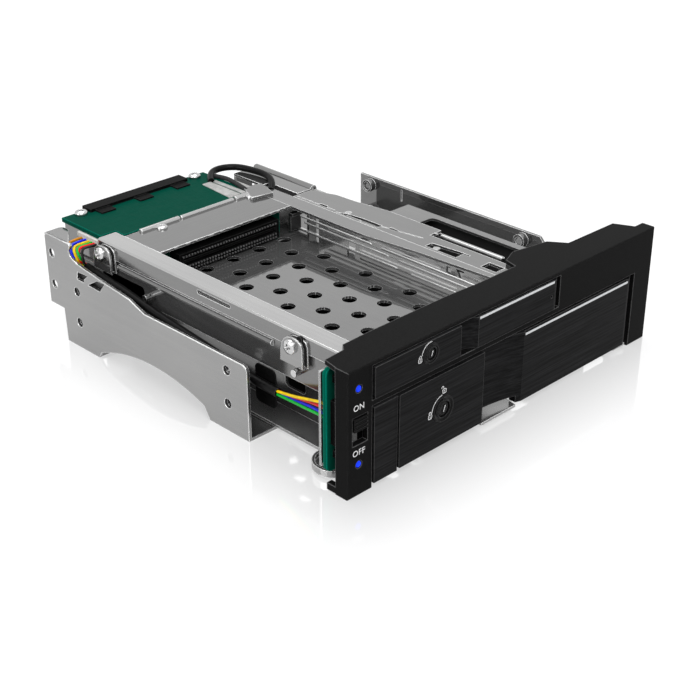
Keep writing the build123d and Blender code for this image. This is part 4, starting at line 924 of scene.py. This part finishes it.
plug_line = [(-1.7, 127.6), (6.5, 127.2), (3.4, 117.0), (-5.8, 118.4)]
plug = pressed_sheet("loop_plug", plug_line, 41.0, 1.2, "top", "sheet_cross",
                     rounding=0.2)
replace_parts(plug, "cable_sockets")
socket_line = [(1.2, 111.6), (10.6, 111.6), (10.6, 127.2), (1.2, 127.2)]
socket = pressed_sheet("loop_socket", socket_line, 38.4, 2.4, "top", "connector",
                       rounding=0.3)
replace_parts(socket, "cable_sockets")
ribbon_near, ribbon_long, ribbon_under, ribbon_over = 125.4, 17.2, 41.18, 41.45
strands, strand_rise = 8, 0.14
ribbon_across = np.linspace(0, 1, 5 * strands + 1)
ribbon_along = np.linspace(0, 1, 12)
wave = strand_rise * np.abs(np.sin(ribbon_across * strands * pi))
for ribbon_name, near_left, near_right, far_left, far_right in (
        ("ribbon_wide", -10.2, -5.0, -8.8, -5.0), ("ribbon_narrow", -4.3, -2.2, -4.3, -2.6)):
    left = near_left + (far_left - near_left) * ribbon_along
    right = near_right + (far_right - near_right) * ribbon_along
    ribbon_x = (left[:, None] + (right - left)[:, None] * ribbon_across) * MM
    ribbon_y = front + (ribbon_near + ribbon_long * ribbon_along)[:, None] * MM
    ribbon_y = np.broadcast_to(ribbon_y, ribbon_x.shape)
    upper = np.stack([ribbon_x, ribbon_y, np.broadcast_to((ribbon_over + wave) * MM, ribbon_x.shape)], -1)
    lower = np.stack([ribbon_x, ribbon_y, np.full_like(ribbon_x, ribbon_under * MM)], -1)
    surface(ribbon_name, np.concatenate([upper, lower[:, ::-1]], 1), "ribbon", "cage",
            around_v=True, capped=True, smooth=False)


# Stage, light and camera

def pale_floor():
    """White floor that keeps a light shadow and mirrors the object faintly, less away from it."""
    look, tree, shader, place = new_look("pale_floor")
    shader.inputs["Base Color"].default_value = (0.30, 0.30, 0.30, 1)
    shader.inputs["Roughness"].default_value = 0.9
    shader.inputs["Specular IOR Level"].default_value = 0
    shader.inputs["Emission Color"].default_value = (1, 1, 1, 1)
    path = tree.nodes.new("ShaderNodeLightPath")
    seen = maths(tree, "MAXIMUM", path.outputs["Is Camera Ray"], path.outputs["Is Glossy Ray"])
    lift = spread(tree, vector_maths(tree, "LENGTH", place), floor_lift, far_lift, near_reach, far_reach)
    tree.links.new(maths(tree, "MULTIPLY", seen, lift), shader.inputs["Emission Strength"])
    beyond = vector_maths(tree, "ABSOLUTE", place, output="Vector")
    outside = vector_maths(tree, "SUBTRACT", beyond, (cad_high[0], cad_high[1], 1), "Vector")
    positive = vector_maths(tree, "MAXIMUM", outside, output="Vector")
    share = spread(tree, vector_maths(tree, "LENGTH", positive), mirror_share, 0.0, 0.0, mirror_reach)
    mirror = tree.nodes.new("ShaderNodeBsdfGlossy")
    mirror.inputs["Roughness"].default_value = 0.06
    mirror.inputs["Color"].default_value = (1, 1, 1, 1)
    both = tree.nodes.new("ShaderNodeMixShader")
    tree.links.new(share, both.inputs[0])
    tree.links.new(shader.outputs[0], both.inputs[1])
    tree.links.new(mirror.outputs[0], both.inputs[2])
    tree.links.new(both.outputs[0], tree.nodes["Material Output"].inputs["Surface"])
    corner = np.linspace(-floor_half, floor_half, 3)
    x, y = np.meshgrid(corner, corner, indexing="ij")
    points = np.stack([x, y, np.full_like(x, -0.0001)], -1).reshape(-1, 3)
    mesh = bpy.data.meshes.new("floor")
    mesh.from_pydata(points.tolist(), [], cells(np.arange(9).reshape(3, 3)))
    mesh.materials.append(look)
    floor = bpy.data.objects.new("floor", mesh)
    bpy.context.scene.collection.objects.link(floor)


def soft_light(name, place, aim, size, power):
    """Square soft box that faces its aim."""
    lamp = bpy.data.lights.new(name, "AREA")
    lamp.size = size
    lamp.energy = power
    holder = bpy.data.objects.new(name, lamp)
    holder.location = place
    holder.rotation_euler = (Vector(aim) - Vector(place)).to_track_quat("-Z", "Y").to_euler()
    bpy.context.scene.collection.objects.link(holder)


def studio_world():
    """White to the camera and in mirrors, and a grey sky that lights the diffuse surfaces."""
    world = bpy.data.worlds.new("studio")
    world.use_nodes = True
    tree = world.node_tree
    background = tree.nodes["Background"]
    up = tree.nodes.new("ShaderNodeSeparateXYZ")
    tree.links.new(tree.nodes.new("ShaderNodeTexCoord").outputs["Generated"], up.inputs["Vector"])
    sky = spread(tree, up.outputs["Z"], (0.30, 0.30, 0.31), (0.62, 0.62, 0.63), 0.0, 0.8)
    path = tree.nodes.new("ShaderNodeLightPath")
    mirrored = maths(tree, "MAXIMUM", path.outputs["Is Glossy Ray"], path.outputs["Is Transmission Ray"])
    seen = maths(tree, "MAXIMUM", path.outputs["Is Camera Ray"], mirrored)
    tree.links.new(masked(tree, seen, sky, (1, 1, 1)), background.inputs["Color"])
    bpy.context.scene.world = world


def photo_camera():
    """Camera fitted to the picture: angles, place and focal length in pixels of a 700 pixel frame."""
    azimuth, elevation, roll = radians(-44.811), radians(27.897), radians(0.032)
    back = Vector((sin(azimuth) * cos(elevation), -cos(azimuth) * cos(elevation), sin(elevation)))
    right = Vector((cos(azimuth), sin(azimuth), 0))
    up = back.cross(right)
    place = at(-314.982, -243.173, 231.178)
    focal_pixels, frame_pixels, sensor = 1407.456, 700, 36
    lens = bpy.data.cameras.new("camera")
    lens.sensor_width = sensor
    lens.lens = focal_pixels / frame_pixels * sensor
    lens.clip_start = 0.01
    camera = bpy.data.objects.new("camera", lens)
    turn = Matrix((right, up, back)).transposed() @ Matrix.Rotation(roll, 3, "Z")
    camera.matrix_world = Matrix.Translation(Vector(place)) @ turn.to_4x4()
    bpy.context.scene.collection.objects.link(camera)
    bpy.context.scene.camera = camera


floor_half = 3.0
floor_lift, far_lift = 0.72, 1.2
near_reach, far_reach = 0.25, 0.7
mirror_share = 0.26
mirror_reach = 0.040
pale_floor()
studio_world()
soft_light("key", (-0.35, -0.55, 0.75), (0, 0, 0), 0.5, 5)
soft_light("top", (0.1, 0.25, 0.9), (0, 0, 0), 0.7, 4)
soft_light("side", (-0.9, 0.1, 0.35), (0, 0, 0), 0.5, 3)
photo_camera()
bpy.context.scene.view_settings.view_transform = "Standard"
